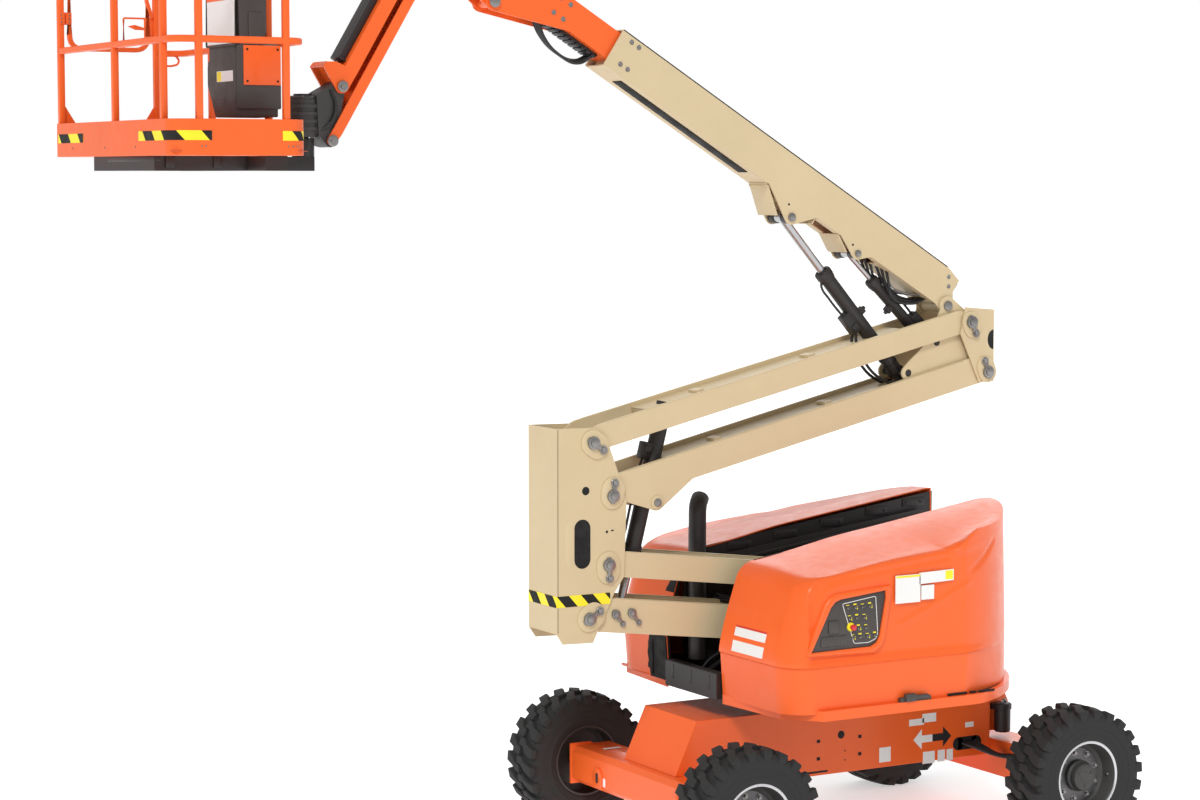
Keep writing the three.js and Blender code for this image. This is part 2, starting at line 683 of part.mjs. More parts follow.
// ---------------------------------------------------------------- booms
/** Boom shapes are drawn with the tip towards -X, so that along becomes -x. */
const alongBoom = (...points) => outline(...points.map(([along, square]) => [-along, square]));
const boomBelt = (...circles) => belt(...circles.map(([along, square, radius]) => [-along, square, radius]));

function mainBoom() {
  const inner = boomHalfWidth - boomWall;
  const side = alongBoom([0, 60], [-6, 180], [110, boomTop], [boomLength, boomTop], [boomLength + 10, boomBottom],
    [60, boomBottom]);
  const liftGusset = boomBelt([...liftEye, 45], [1520, 0, 8], [1080, 0, 8]);
  const levelGusset = boomBelt([...levelEye, 38], [930, 0, 8], [620, 0, 8]);
  const pivotLobe = boomBelt([0, 0, 52], [150, 60, 60], [40, 90, 40]);
  const shapes = [side, liftGusset, levelGusset, pivotLobe];
  const sides = join(...shapes.map((shape) => plates(shape, inner, boomHalfWidth)));
  const wall = 8;
  const top = block(-boomLength, -110, -inner - 1, inner + 1, boomTop - wall, boomTop);
  const floor = block(-boomLength, -90, -inner - 1, inner + 1, boomBottom, boomBottom + wall);
  const slots = block(-1450, -560, -56, 56, boomBottom - 20, boomBottom + wall + 1);
  const topPad = block(-boomLength + 20, -boomLength + 160, -60, 60, flyTop + pinFit, boomTop - wall + 1);
  const floorPad = block(-boomLength + 20, -boomLength + 160, -60, 60, boomBottom + wall - 1, flyBottom - pinFit);
  const hubY = earOuterY - earThickness - washerGap;
  const pivot = join(bar(0, 0, 40, -hubY, hubY),
    bars(0, 0, armPinRadius, boomHalfWidth - 1, earOuterY - 1));
  const stubs = [[levelEye, 16], [liftEye, 20]].map(([[along, square], radius]) =>
    bars(-along, square, radius, 46, boomHalfWidth + 10));
  return join(sides, top, cut(floor, slots), topPad, floorPad, pivot, ...stubs);
}

function flyBoom() {
  const length = flyEnd;
  const tube = cut(
    block(-length, -flyTail, -flyHalfWidth, flyHalfWidth, flyBottom, flyTop),
    block(-length - 1, -flyTail + 1, -flyHalfWidth + flyWall, flyHalfWidth - flyWall, flyBottom + flyWall, flyTop - flyWall),
  );
  const nose = boomBelt([...nosePin, 50], [3060, flyBottom + 12, 10], [3060, flyTop - 10, 10], [3500, flyTop - 40, 30]);
  const nosePlates = plates(nose, flyHalfWidth - 10, flyHalfWidth);
  const tailPad = block(-flyTail - 100, -flyTail - 10, -60, 60, flyTop - 1, boomTop - 8 - pinFit);
  return join(cut(join(tube, nosePlates), hole(-nosePin[0], nosePin[1], 20, -200, 200)), tailPad);
}

function jibBase() {
  const inner = 58;
  const outer = 70;
  const [ux, uz] = add(jibUpperPin, [-noseJoint[0], -noseJoint[1]]);
  const [lx, lz] = add(jibLowerPin, [-noseJoint[0], -noseJoint[1]]);
  const [bx, bz] = add(jibBasePin, [-noseJoint[0], -noseJoint[1]]);
  const web = plates(belt([0, 0, 44], [ux, uz, 44], [lx, lz, 44], [-60, 330, 40]), inner, outer);
  const noseJournal = join(bar(0, 0, 32, -outer + 1, outer - 1), bars(0, 0, 20, outer - 1, flyHalfWidth + 3),
    bars(0, 0, 30, flyHalfWidth + washerGap, flyHalfWidth + 12));
  const back = plate(belt([-40, 250, 8], [-180, 520, 8]), -outer + 1, outer - 1);
  const pins = [[ux, uz], [lx, lz]].map(([x, z]) => join(
    bars(x, z, 20, inner + 1, jibOuterY + 3),
    bars(x, z, 25, jibOuterY + washerGap, jibOuterY + 12),
  ));
  const barrelHole = hole(bx, bz, 18, -100, 100);
  return join(cut(join(web, back), barrelHole), noseJournal, ...pins);
}

function jibArm() {
  const inner = jibOuterY - jibPlate;
  const end = -jibLength;
  const side = belt([0, 0, 38], [-60, -2, 38.5], [end + 120, -2, 38.5], [end, 0, 38]);
  const bracket = belt([end, 0, 38], [end + 41, 141, 7], [end + 62, 138, 7], [end + 88, 96, 8], [end + 98, 26, 8]);
  const cover = block(end + 110, -70, -inner - 1, inner + 1, 27, 36.5);
  const hood = plate(belt([end + 41, 142, 6], [end + 66, 138, 6]), -inner - 1, inner + 1);
  const [along, square] = jibEye;
  const lug = belt([-along, square, 24], [-along - 50, 28, 4], [-along + 50, 28, 4]);
  const lugs = join(plates(lug, 38, 48), plates(lug, inner - 2, inner + 1), bars(-along, square, 14, 47, inner));
  const holes = [0, end].map((x) => hole(x, 0, 20, -200, 200));
  const sides = cut(join(plates(side, inner, jibOuterY), plates(bracket, inner, jibOuterY)), ...holes);
  return join(sides, cover, hood, lugs);
}

function jibLink() {
  const inner = jibOuterY - jibPlate;
  const side = belt([0, 0, 25], [-60, -7, 25], [-jibLength + 60, -7, 25], [-jibLength, 0, 25]);
  const floor = block(-jibLength + 90, -80, -inner - 1, inner + 1, -32, -24);
  const holes = [0, -jibLength].map((x) => hole(x, 0, 20, -200, 200));
  return join(cut(plates(side, inner, jibOuterY), ...holes), floor);
}

function jibHead() {
  const half = 70;
  const [lx, lz] = add(headLowerPin, [-headUpperPin[0], -headUpperPin[1]]);
  const body = plate(belt([0, 0, 30], [lx, lz, 34], [-110, -60, 30], [-110, -250, 20]), -half, half);
  const boss = post(rotatorOffset, 0, 78, -270, -70);
  const web = block(rotatorOffset, -90, -60, 60, -250, -90);
  const pins = [[0, 0], [lx, lz]].map(([x, z]) => join(
    bars(x, z, 20, half - 1, jibOuterY + 3),
    bars(x, z, 25, jibOuterY + washerGap, jibOuterY + 12),
  ));
  const bore = post(rotatorOffset, 0, 30 + 2 * pinFit, -300, 0);
  return join(cut(join(body, boss, web), bore), ...pins);
}

function booms() {
  piece(frame(boomPivot, -boomPitch), 'main_boom', mainBoom(), tan);
  piece(frame(boomPivot, -boomPitch), 'fly_boom', flyBoom(), orange);
  piece(frame(noseJoint), 'jib_base', jibBase(), orange);
  piece(frame(jibUpperPin, jibPitch), 'jib_arm', jibArm(), orange);
  const sleeve = roundedRectangle(-44, 56, 37, 85, 7);
  const geometry = new THREE.ExtrudeGeometry(sleeve, { depth: 990, bevelEnabled: false, curveSegments: 4 });
  geometry.rotateX(Math.PI / 2);
  geometry.rotateZ(Math.PI / 2);
  geometry.translate(-jibLength + 130, 0, 0);
  piece(frame(jibUpperPin, jibPitch), 'hose_guard', solid(geometry), black);
  piece(frame(jibLowerPin, jibPitch), 'jib_link', jibLink(), orange);
  piece(frame(headUpperPin), 'jib_head', jibHead(), castIron);
}

// ---------------------------------------------------------------- hydraulic cylinders
/** A barrel from its eye at the origin towards +X, bored for its rod; pinReach is the half length of its pin. */
function barrel(eyeRadius, radius, length, boreRadius, boreDepth, pinRadius, pinReach) {
  const eye = bar(0, 0, eyeRadius, -34, 34);
  const pin = bars(0, 0, pinRadius, 33, pinReach);
  const body = rod(0, length, radius);
  const gland = rod(length - 60, length, radius + 6);
  return cut(join(eye, pin, body, gland), rod(length - boreDepth, length + 1, boreRadius / Math.cos(Math.PI / 16)));
}

/** A rod from its eye at the origin towards -X. */
const pistonRod = (eyeRadius, radius, length, halfWidth) =>
  join(bar(0, 0, eyeRadius, -halfWidth, halfWidth), rod(-length, 0, radius));

function cylinders() {
  const liftLength = distance(liftBase, liftEyePlace);
  const lift = frame(liftBase, heading(liftBase, liftEyePlace));
  piece(lift, 'lift_cylinder_barrel', barrel(44, 44, 830, 25 + pinFit, 780, armPinRadius, earOuterY - 1), black);
  const liftRod = moved(pistonRod(34, 25, liftLength - 290, 36), liftLength, 0, 0);
  piece(lift, 'lift_cylinder_rod', liftRod, steel);

  const levelLength = distance(levelBase, levelEyePlace);
  const level = frame(levelBase, heading(levelBase, levelEyePlace));
  piece(level, 'level_cylinder_barrel', barrel(38, 34, 560, 16 + pinFit, 520, armPinRadius, earOuterY - 1), black);
  const levelRod = moved(pistonRod(27, 16, levelLength - 150, 36), levelLength, 0, 0);
  piece(level, 'level_cylinder_rod', levelRod, steel);

  const towerLength = distance(trunnionPlace, towerEyePlace);
  const towerFrame = frame(trunnionPlace, heading(trunnionPlace, towerEyePlace));
  const trunnionBlock = join(block(-45, 45, -62, 62, -45, 45), bars(0, 0, 25, 61, armOuterY + 3),
    bars(0, 0, 32, armOuterY + washerGap, armOuterY + 4));
  const towerBarrel = cut(join(rod(-580, 330, 48), rod(270, 330, 54), trunnionBlock), rod(-560, 340, (26 + pinFit) / Math.cos(Math.PI / 16)));
  piece(towerFrame, 'tower_cylinder_barrel', towerBarrel, black);
  const towerRod = moved(pistonRod(36, 26, towerLength + 440, 38), towerLength, 0, 0);
  piece(towerFrame, 'tower_cylinder_rod', towerRod, steel);

  const jibCylinderLength = distance(jibBasePin, jibEyePlace);
  const jibFrame = frame(jibBasePin, heading(jibBasePin, jibEyePlace));
  piece(jibFrame, 'jib_cylinder_barrel', barrel(28, 27, 560, 14 + pinFit, 520, 18, 69), black);
  const jibRod = moved(pistonRod(22, 14, jibCylinderLength - 52, 30), jibCylinderLength, 0, 0);
  piece(jibFrame, 'jib_cylinder_rod', jibRod, steel);
}

// ---------------------------------------------------------------- platform
const halfLength = platformLength / 2;
const innerX = platformInner;
const outerX = platformInner - platformDepth;
const railInset = 6 + railRadius + pinFit;     // from the platform's edge to the middle of a rail
const railX0 = outerX + railInset;
const railX1 = innerX - railInset;
const railY = halfLength - railInset;
const latchX = railX0 + 545;                   // post the gate shuts against

/** The plan of the platform, with large near corners and nearly square far ones. */
function platformPlan(inset) {
  const [near, far] = [platformCorner - inset, platformFarCorner - inset];
  const [x0, x1, y] = [outerX + inset, innerX - inset, halfLength - inset];
  const shape = new THREE.Shape();
  shape.moveTo(x0 + near, -y);
  shape.lineTo(x1 - near, -y);
  shape.absarc(x1 - near, -y + near, near, -Math.PI / 2, 0);
  shape.lineTo(x1, y - far);
  shape.absarc(x1 - far, y - far, far, 0, Math.PI / 2);
  shape.lineTo(x0 + far, y);
  shape.absarc(x0 + far, y - far, far, Math.PI / 2, Math.PI);
  shape.lineTo(x0, -y + near);
  shape.absarc(x0 + near, -y + near, near, Math.PI, 1.5 * Math.PI);
  return shape;
}

function platformFloor() {
  const top = platformBottom + toeBoardHeight;
  return cut(slab(platformPlan(0), platformBottom, top), slab(platformPlan(6), platformBottom + floorThickness, top + 1));
}

/** A tube through points, each [x, y, z], with its corners bent to a radius. */
function pipe(points, radius, bendRadius = 0, closed = false, sides = 8) {
  const corners = points.map(([x, y, z]) => new THREE.Vector3(x, y, z));
  const at = (i) => corners[(i + corners.length) % corners.length];
  const towards = (from, to, length) => to.clone().sub(from).setLength(length).add(from);
  const bent = (i) => closed || (i > 0 && i < corners.length - 1);
  const overlap = 1;
  const parts = [];
  for (let i = 0; i < (closed ? corners.length : corners.length - 1); i += 1) {
    const start = bent(i) ? towards(at(i), at(i + 1), bendRadius - overlap) : at(i);
    const end = bent(i + 1) ? towards(at(i + 1), at(i), bendRadius - overlap) : at(i + 1);
    const geometry = new THREE.CylinderGeometry(radius, radius, start.distanceTo(end), sides);
    const direction = end.clone().sub(start).normalize();
    geometry.applyQuaternion(new THREE.Quaternion().setFromUnitVectors(new THREE.Vector3(0, 1, 0), direction));
    const middle = start.clone().add(end).multiplyScalar(0.5);
    geometry.translate(middle.x, middle.y, middle.z);
    parts.push(solid(geometry));
  }
  const section = new THREE.Shape().absarc(0, 0, radius, 0, 2 * Math.PI);
  for (let i = 0; i < corners.length; i += 1) {
    if (!bent(i)) continue;
    const from = towards(at(i), at(i - 1), bendRadius);
    const to = towards(at(i), at(i + 1), bendRadius);
    const extrudePath = new THREE.QuadraticBezierCurve3(from, at(i), to);
    parts.push(solid(new THREE.ExtrudeGeometry(section, { extrudePath, steps: 4, curveSegments: sides / 2 })));
  }
  return join(...parts);
}

function platformRails() {
  const bend = platformCorner - railInset;
  const loop = (z) => pipe([
    [railX0, railY, z], [railX0, -railY, z], [railX1, -railY, z], [railX1, railY, z], [latchX, railY, z],
  ], railRadius, bend);
  const foot = platformBottom + floorThickness + seatGap;
  const tall = [
    [railX0, railY], [latchX, railY], [railX0, -0.8 * halfLength], [railX0 + 128, -railY], [railX1 - 97, -railY],
    [railX1, -0.45 * halfLength], [railX1, 0.45 * halfLength], [railX0, 0],
  ].map(([x, y]) => post(x, y, railRadius, foot, topRail, 8));
  return join(loop(midRail), loop(topRail), ...tall);
}

/** The gate in the far end, hung on the corner post. */
function platformGate() {
  const low = midRail + 15;
  const high = topRail;
  const from = railX0 + 50;
  const to = latchX - 50;
  const leaf = pipe([[from, railY, low], [from, railY, high], [to, railY, high], [to, railY, low]], 13, 40, true);
  const hingeX = railX0 + railRadius + 10 + washerGap;
  const hinges = [low + 110, high - 110].map((z) => join(
    post(hingeX, railY, 10, z - 30, z + 30, 12),
    block(hingeX, from, railY - 4, railY + 4, z - 30, z + 30),
  ));
  return join(leaf, ...hinges);
}

/** The control console in the near inner corner: a box, a narrower foot under it and a sloping desk above. */
function platformConsole() {
  const back = railX1 - railRadius - pinFit;
  const [nearY, farY] = [-600, -215];
  const footY = farY - 100;
  const [footBottom, boxBottom, boxTop, deskTop] = [-180, -20, 175, 790];
  const foot = block(back - 240, back, nearY, footY, footBottom, boxBottom + 1);
  const box = block(back - 245, back, nearY, farY, boxBottom, boxTop);
  const desk = outline(
    [back - 230, boxTop - 1], [back - 250, 600], [back - 20, deskTop], [back, deskTop], [back, boxTop - 1],
  );
  return join(foot, box, plate(desk, nearY, farY));
}

function platformSupport() {
  const roof = platformBottom - seatGap;
  const base = platformBottom - 75;
  const shaft = post(0, 0, 30, base, -40);
  const cap = post(0, 0, 50, -69, -40);
  const riser = post(0, 0, 60, base, -275);
  const foot = block(-460, 40, -60, 60, base, roof);
  const cross = block(-470, -350, -600, 600, base, roof);
  const outer = block(-970, -850, -340, 560, base, roof);
  const arms = blocks(-860, -460, 260, 340, base, roof);
  return join(shaft, cap, riser, foot, cross, outer, arms);
}

function platform() {
  const group = frame(rotator);
  piece(group, 'platform_support', platformSupport(), black);
  piece(group, 'platform_floor', platformFloor(), orange);
  piece(group, 'platform_rails', platformRails(), orange);
  piece(group, 'platform_gate', platformGate(), orange);
  piece(group, 'platform_console', platformConsole(), black);
}

chassis();
turret();
tower();
booms();
cylinders();
platform();

// The origin lies under the middle of the whole machine, on the ground.
const bounds = new THREE.Box3().setFromObject(machine);
machine.position.set(-(bounds.min.x + bounds.max.x) / 2, -(bounds.min.y + bounds.max.y) / 2, -bounds.min.z);

export default machine;
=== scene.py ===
"""An articulating boom lift: the finishes, trim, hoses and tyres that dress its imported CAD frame.

Everything is in metres, in the frame of the CAD: +Z up, the booms towards -X, the near side -Y.
"""

import json
import logging
from collections.abc import Iterable, Sequence
from dataclasses import dataclass, field
from enum import Enum
from math import atan2, copysign, cos, degrees, hypot, pi, radians, sin, sqrt

import bmesh
import bpy
from mathutils import Matrix, Vector


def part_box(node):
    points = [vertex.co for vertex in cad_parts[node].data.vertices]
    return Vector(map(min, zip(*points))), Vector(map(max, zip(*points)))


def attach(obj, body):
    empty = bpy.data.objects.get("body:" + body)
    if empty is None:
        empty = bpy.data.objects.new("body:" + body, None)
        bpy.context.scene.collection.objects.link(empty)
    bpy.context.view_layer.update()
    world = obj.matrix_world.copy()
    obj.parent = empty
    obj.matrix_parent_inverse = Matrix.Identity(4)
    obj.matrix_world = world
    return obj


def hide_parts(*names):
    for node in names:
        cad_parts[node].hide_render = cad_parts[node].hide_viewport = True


LOG = logging.getLogger("boom_lift")
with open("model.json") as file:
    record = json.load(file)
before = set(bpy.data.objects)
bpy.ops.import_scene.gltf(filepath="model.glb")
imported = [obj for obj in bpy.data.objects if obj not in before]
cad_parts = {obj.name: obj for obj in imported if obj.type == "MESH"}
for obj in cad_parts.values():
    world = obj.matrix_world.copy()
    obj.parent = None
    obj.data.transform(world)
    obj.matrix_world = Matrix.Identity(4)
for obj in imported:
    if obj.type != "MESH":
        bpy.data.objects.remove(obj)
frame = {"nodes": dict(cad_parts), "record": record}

Point = Sequence[float]


# --- finishes
def srgb(red: int, green: int, blue: int) -> tuple[float, float, float, float]:
    """A colour given as three 0-255 display values, as linear light."""
    def linear(value: float) -> float:
        """One channel, decoded."""
        return value / 12.92 if value <= 0.04045 else ((value + 0.055) / 1.055) ** 2.4

    return (linear(red / 255), linear(green / 255), linear(blue / 255), 1.0)


def shaded(colour: Sequence[float], share: float) -> tuple[float, float, float, float]:
    """The same colour, lighter or darker by a share."""
    return (*(min(1.0, c * share) for c in colour[:3]), 1.0)


class Nodes:
    """A material's node tree with short calls for its parts."""

    def __init__(self, name: str) -> None:
        """Starts a material with a principled surface."""
        self.material = bpy.data.materials.new(name)
        self.material.use_nodes = True
        self.tree = self.material.node_tree
        self.surface = self.tree.nodes["Principled BSDF"]
        self.place = self.tree.nodes.new("ShaderNodeTexCoord").outputs["Object"]

    def node(self, kind: str, inputs: dict | None = None, **settings: object) -> bpy.types.Node:
        """Adds a node.

        Args:
            kind: the node type, without its "ShaderNode" prefix.
            inputs: socket name or index to a value or to the output it takes.
            settings: properties of the node itself.

        Returns:
            The new node.
        """
        made = self.tree.nodes.new("ShaderNode" + kind)
        for key, value in settings.items():
            setattr(made, key, value)
        for key, value in (inputs or {}).items():
            if isinstance(value, bpy.types.NodeSocket):
                self.tree.links.new(value, made.inputs[key])
            else:
                made.inputs[key].default_value = value
        return made

    def noise(self, scale: float, detail: float = 3.0, rough: float = 0.55) -> bpy.types.NodeSocket:
        """A grey noise of a given scale per metre."""
        inputs = {"Vector": self.place, "Scale": scale, "Detail": detail, "Roughness": rough}
        return self.node("TexNoise", inputs).outputs["Fac"]

    def ranged(self, value: bpy.types.NodeSocket, low: float, high: float,
            to_low: float, to_high: float) -> bpy.types.NodeSocket:
        """A value moved from one range to another, and held inside it."""
        inputs = {"Value": value, "From Min": low, "From Max": high, "To Min": to_low, "To Max": to_high}
        return self.node("MapRange", inputs).outputs["Result"]

    def mixed(self, share: object, first: object, second: object) -> bpy.types.NodeSocket:
        """A mix of two colours."""
        made = self.node("Mix", {0: share, 6: first, 7: second}, data_type="RGBA")
        return made.outputs[2]

    def bump(self, height: bpy.types.NodeSocket, strength: float, distance: float) -> bpy.types.NodeSocket:
        """A normal from a height."""
        inputs = {"Height": height, "Strength": strength, "Distance": distance}
        return self.node("Bump", inputs).outputs["Normal"]

    def link(self, value: bpy.types.NodeSocket, socket: str) -> None:
        """Feeds one of the surface's sockets."""
        self.tree.links.new(value, self.surface.inputs[socket])


@dataclass(frozen=True)
class Finish:
    """One finish of the machine, made into a material the first time it is used."""

    name: str
    slot: str
    colour: tuple[float, float, float, float]
    roughness: float = 0.4
    metallic: float = 0.0
    coat: float = 0.0
    mottle: float = 0.05
    drift: float = 2.2
    grain: float = 420.0
    bump: float = 0.04
    dust: float = 0.0
    shine: float = 0.5

    def colours(self, nodes: Nodes) -> bpy.types.NodeSocket:
        """The colour over the surface: slow drift, and dust that gathers in patches."""
        share = nodes.ranged(nodes.noise(self.drift), 0.3, 0.7, 0.0, 1.0)
        base = nodes.mixed(share, shaded(self.colour, 1 - self.mottle), shaded(self.colour, 1 + self.mottle))
        if not self.dust:
            return base
        patches = nodes.ranged(nodes.noise(9.0, 6.0, 0.7), 0.45, 0.75, 0.0, self.dust)
        return nodes.mixed(patches, base, srgb(120, 100, 82))

    def dress(self, nodes: Nodes) -> None:
        """Sets the surface's sockets."""
        surface = nodes.surface
        surface.inputs["Metallic"].default_value = self.metallic
        surface.inputs["Coat Weight"].default_value = self.coat
        surface.inputs["Coat Roughness"].default_value = 0.12
        surface.inputs["Specular IOR Level"].default_value = self.shine
        nodes.link(self.colours(nodes), "Base Color")
        rough = nodes.ranged(nodes.noise(14.0, 4.0), 0.3, 0.7, self.roughness * 0.85, self.roughness * 1.2)
        nodes.link(rough, "Roughness")
        nodes.link(nodes.bump(nodes.noise(self.grain, 2.0), self.bump, 0.0006), "Normal")

    def material(self) -> bpy.types.Material:
        """The finish as a material, made once."""
        found = bpy.data.materials.get(self.name)
        if found:
            return found
        nodes = Nodes(self.name)
        self.dress(nodes)
        return nodes.material


@dataclass(frozen=True)
class TreadFinish(Finish):
    """Rubber that greys on its worn faces and keeps brown dust between its lugs."""

    def colours(self, nodes: Nodes) -> bpy.types.NodeSocket:
        """Black rubber with a dry, dusty bloom."""
        bloom = nodes.ranged(nodes.noise(26.0, 6.0, 0.7), 0.35, 0.8, 0.0, 0.55)
        dull = nodes.mixed(bloom, self.colour, shaded(self.colour, 1.7))
        patches = nodes.ranged(nodes.noise(5.0, 5.0, 0.7), 0.5, 0.8, 0.0, self.dust)
        return nodes.mixed(patches, dull, srgb(92, 74, 62))


@dataclass(frozen=True)
class GratingFinish(Finish):
    """A punched, non-slip floor plate."""

    def dress(self, nodes: Nodes) -> None:
        """Adds raised studs in rows."""
        super().dress(nodes)
        inputs = {"Vector": nodes.place, "Scale": 38.0, "Randomness": 0.0}
        cells = nodes.node("TexVoronoi", inputs, feature="F1").outputs["Distance"]
        studs = nodes.ranged(cells, 0.15, 0.42, 1.0, 0.0)
        nodes.link(nodes.bump(studs, 0.8, 0.002), "Normal")


class Paint(Enum):
    """Every finish of the machine."""

    ORANGE = Finish("orange_enamel", "orange_paint", srgb(240, 101, 40), 0.34, coat=0.12, mottle=0.03, bump=0.02,
        shine=0.28)
    TAN = Finish("tan_enamel", "tan_paint", srgb(206, 187, 150), 0.46, coat=0.04, mottle=0.03, dust=0.03, shine=0.25)
    BLACK = Finish("black_paint", "black_paint", srgb(52, 50, 48), 0.42, coat=0.1, mottle=0.12)
    CAST = Finish("black_casting", "cast_iron", srgb(58, 57, 56), 0.5, mottle=0.15, grain=160.0, bump=0.25)
    # Near-black for printed stripes and marks, and also for painted shade: holes, slots, openings and shaded edges
    # drawn as flat dark pieces.
    DARK = Finish("dark_print_and_painted_shade", "black_paint", srgb(20, 20, 20), 0.8, mottle=0.2)
    DISH = Finish("grey_wheel_dish", "cast_iron", srgb(104, 104, 106), 0.42, metallic=0.55, mottle=0.12, dust=0.12)
    LIP = Finish("bright_rim_lip", "steel_rod", srgb(205, 205, 208), 0.28, metallic=0.9, mottle=0.05)
    STEEL = Finish("ground_steel", "steel_rod", srgb(178, 178, 180), 0.25, metallic=0.95, mottle=0.06)
    BOLT = Finish("plated_fastener", "steel_rod", srgb(140, 138, 136), 0.35, metallic=0.85, mottle=0.12)
    HOSE = Finish("hose_rubber", "black_paint", srgb(34, 34, 35), 0.5, mottle=0.15, grain=900.0, bump=0.12)
    PLASTIC = Finish("moulded_plastic", "black_paint", srgb(66, 62, 60), 0.5, mottle=0.06, grain=700.0, bump=0.2)
    RUBBER = TreadFinish("tyre_rubber", "tyre_rubber", srgb(48, 46, 46), 0.68, dust=0.35, grain=240.0, bump=0.25)
    WHITE = Finish("white_plate", "tan_paint", srgb(232, 232, 230), 0.5, mottle=0.02)
    RED = Finish("red_knob", "orange_paint", srgb(205, 38, 40), 0.35, coat=0.3, mottle=0.03)
    YELLOW = Finish("yellow_mark", "orange_paint", srgb(246, 226, 30), 0.45, mottle=0.03)
    FLOOR = GratingFinish("floor_plate", "orange_paint", srgb(190, 92, 48), 0.55, mottle=0.12, dust=0.3)


# --- places
JOINTS = {joint["name"]: joint for joint in frame["record"]["behaviour"]["joints"]}


def pin(joint: str) -> Vector:
    """The place of a hinge's pin."""
    return Vector(JOINTS[joint]["pos_m"])


def heading(along: Vector) -> Matrix:
    """A rotation whose X runs along a direction of the boom plane and whose Z stands square above it."""
    x_axis = along.normalized()
    z_axis = Vector((-x_axis.z, 0.0, x_axis.x))
    if z_axis.z < 0:
        z_axis.negate()
    return Matrix((x_axis, z_axis.cross(x_axis), z_axis)).transposed().to_4x4()


@dataclass(frozen=True)
class Bench:
    """A local frame in the boom plane: along, across and above an arm or a boom."""

    origin: Vector
    along: Vector

    @property
    def matrix(self) -> Matrix:
        """From this frame to the machine's."""
        return Matrix.Translation(self.origin) @ heading(self.along)

    def at(self, along: float, across: float = 0.0, above: float = 0.0) -> Vector:
        """A place of this frame, in the machine's."""
        return self.matrix @ Vector((along, across, above))


TURRET_PIN = pin("tower_lift")
LOWER_PIN = pin("upright_level")
LOWER_LINK_PIN = LOWER_PIN + pin("lower_link_swing") - TURRET_PIN
UPPER_PIN = pin("upper_arm_swing")
UPPER_LINK_PIN = pin("upper_link_swing")
KNUCKLE_PIN = pin("knuckle_level")
KNUCKLE_LINK_PIN = KNUCKLE_PIN + UPPER_LINK_PIN - UPPER_PIN
BOOM_PIN = pin("boom_lift")
JIB_PIN = pin("jib_lift")
JIB_LINK_PIN = pin("jib_link_swing")
HEAD_PIN = pin("jib_head_level")
HEAD_LINK_PIN = HEAD_PIN + JIB_LINK_PIN - JIB_PIN
ROTATOR = pin("platform_rotate")
SLEW = pin("slew")

BOOM = Bench(BOOM_PIN, Vector(JOINTS["telescope"]["axis"]))
LOWER = Bench(LOWER_PIN, TURRET_PIN - LOWER_PIN)
UPPER = Bench(UPPER_PIN, KNUCKLE_PIN - UPPER_PIN)
JIB = Bench(JIB_PIN, HEAD_PIN - JIB_PIN)


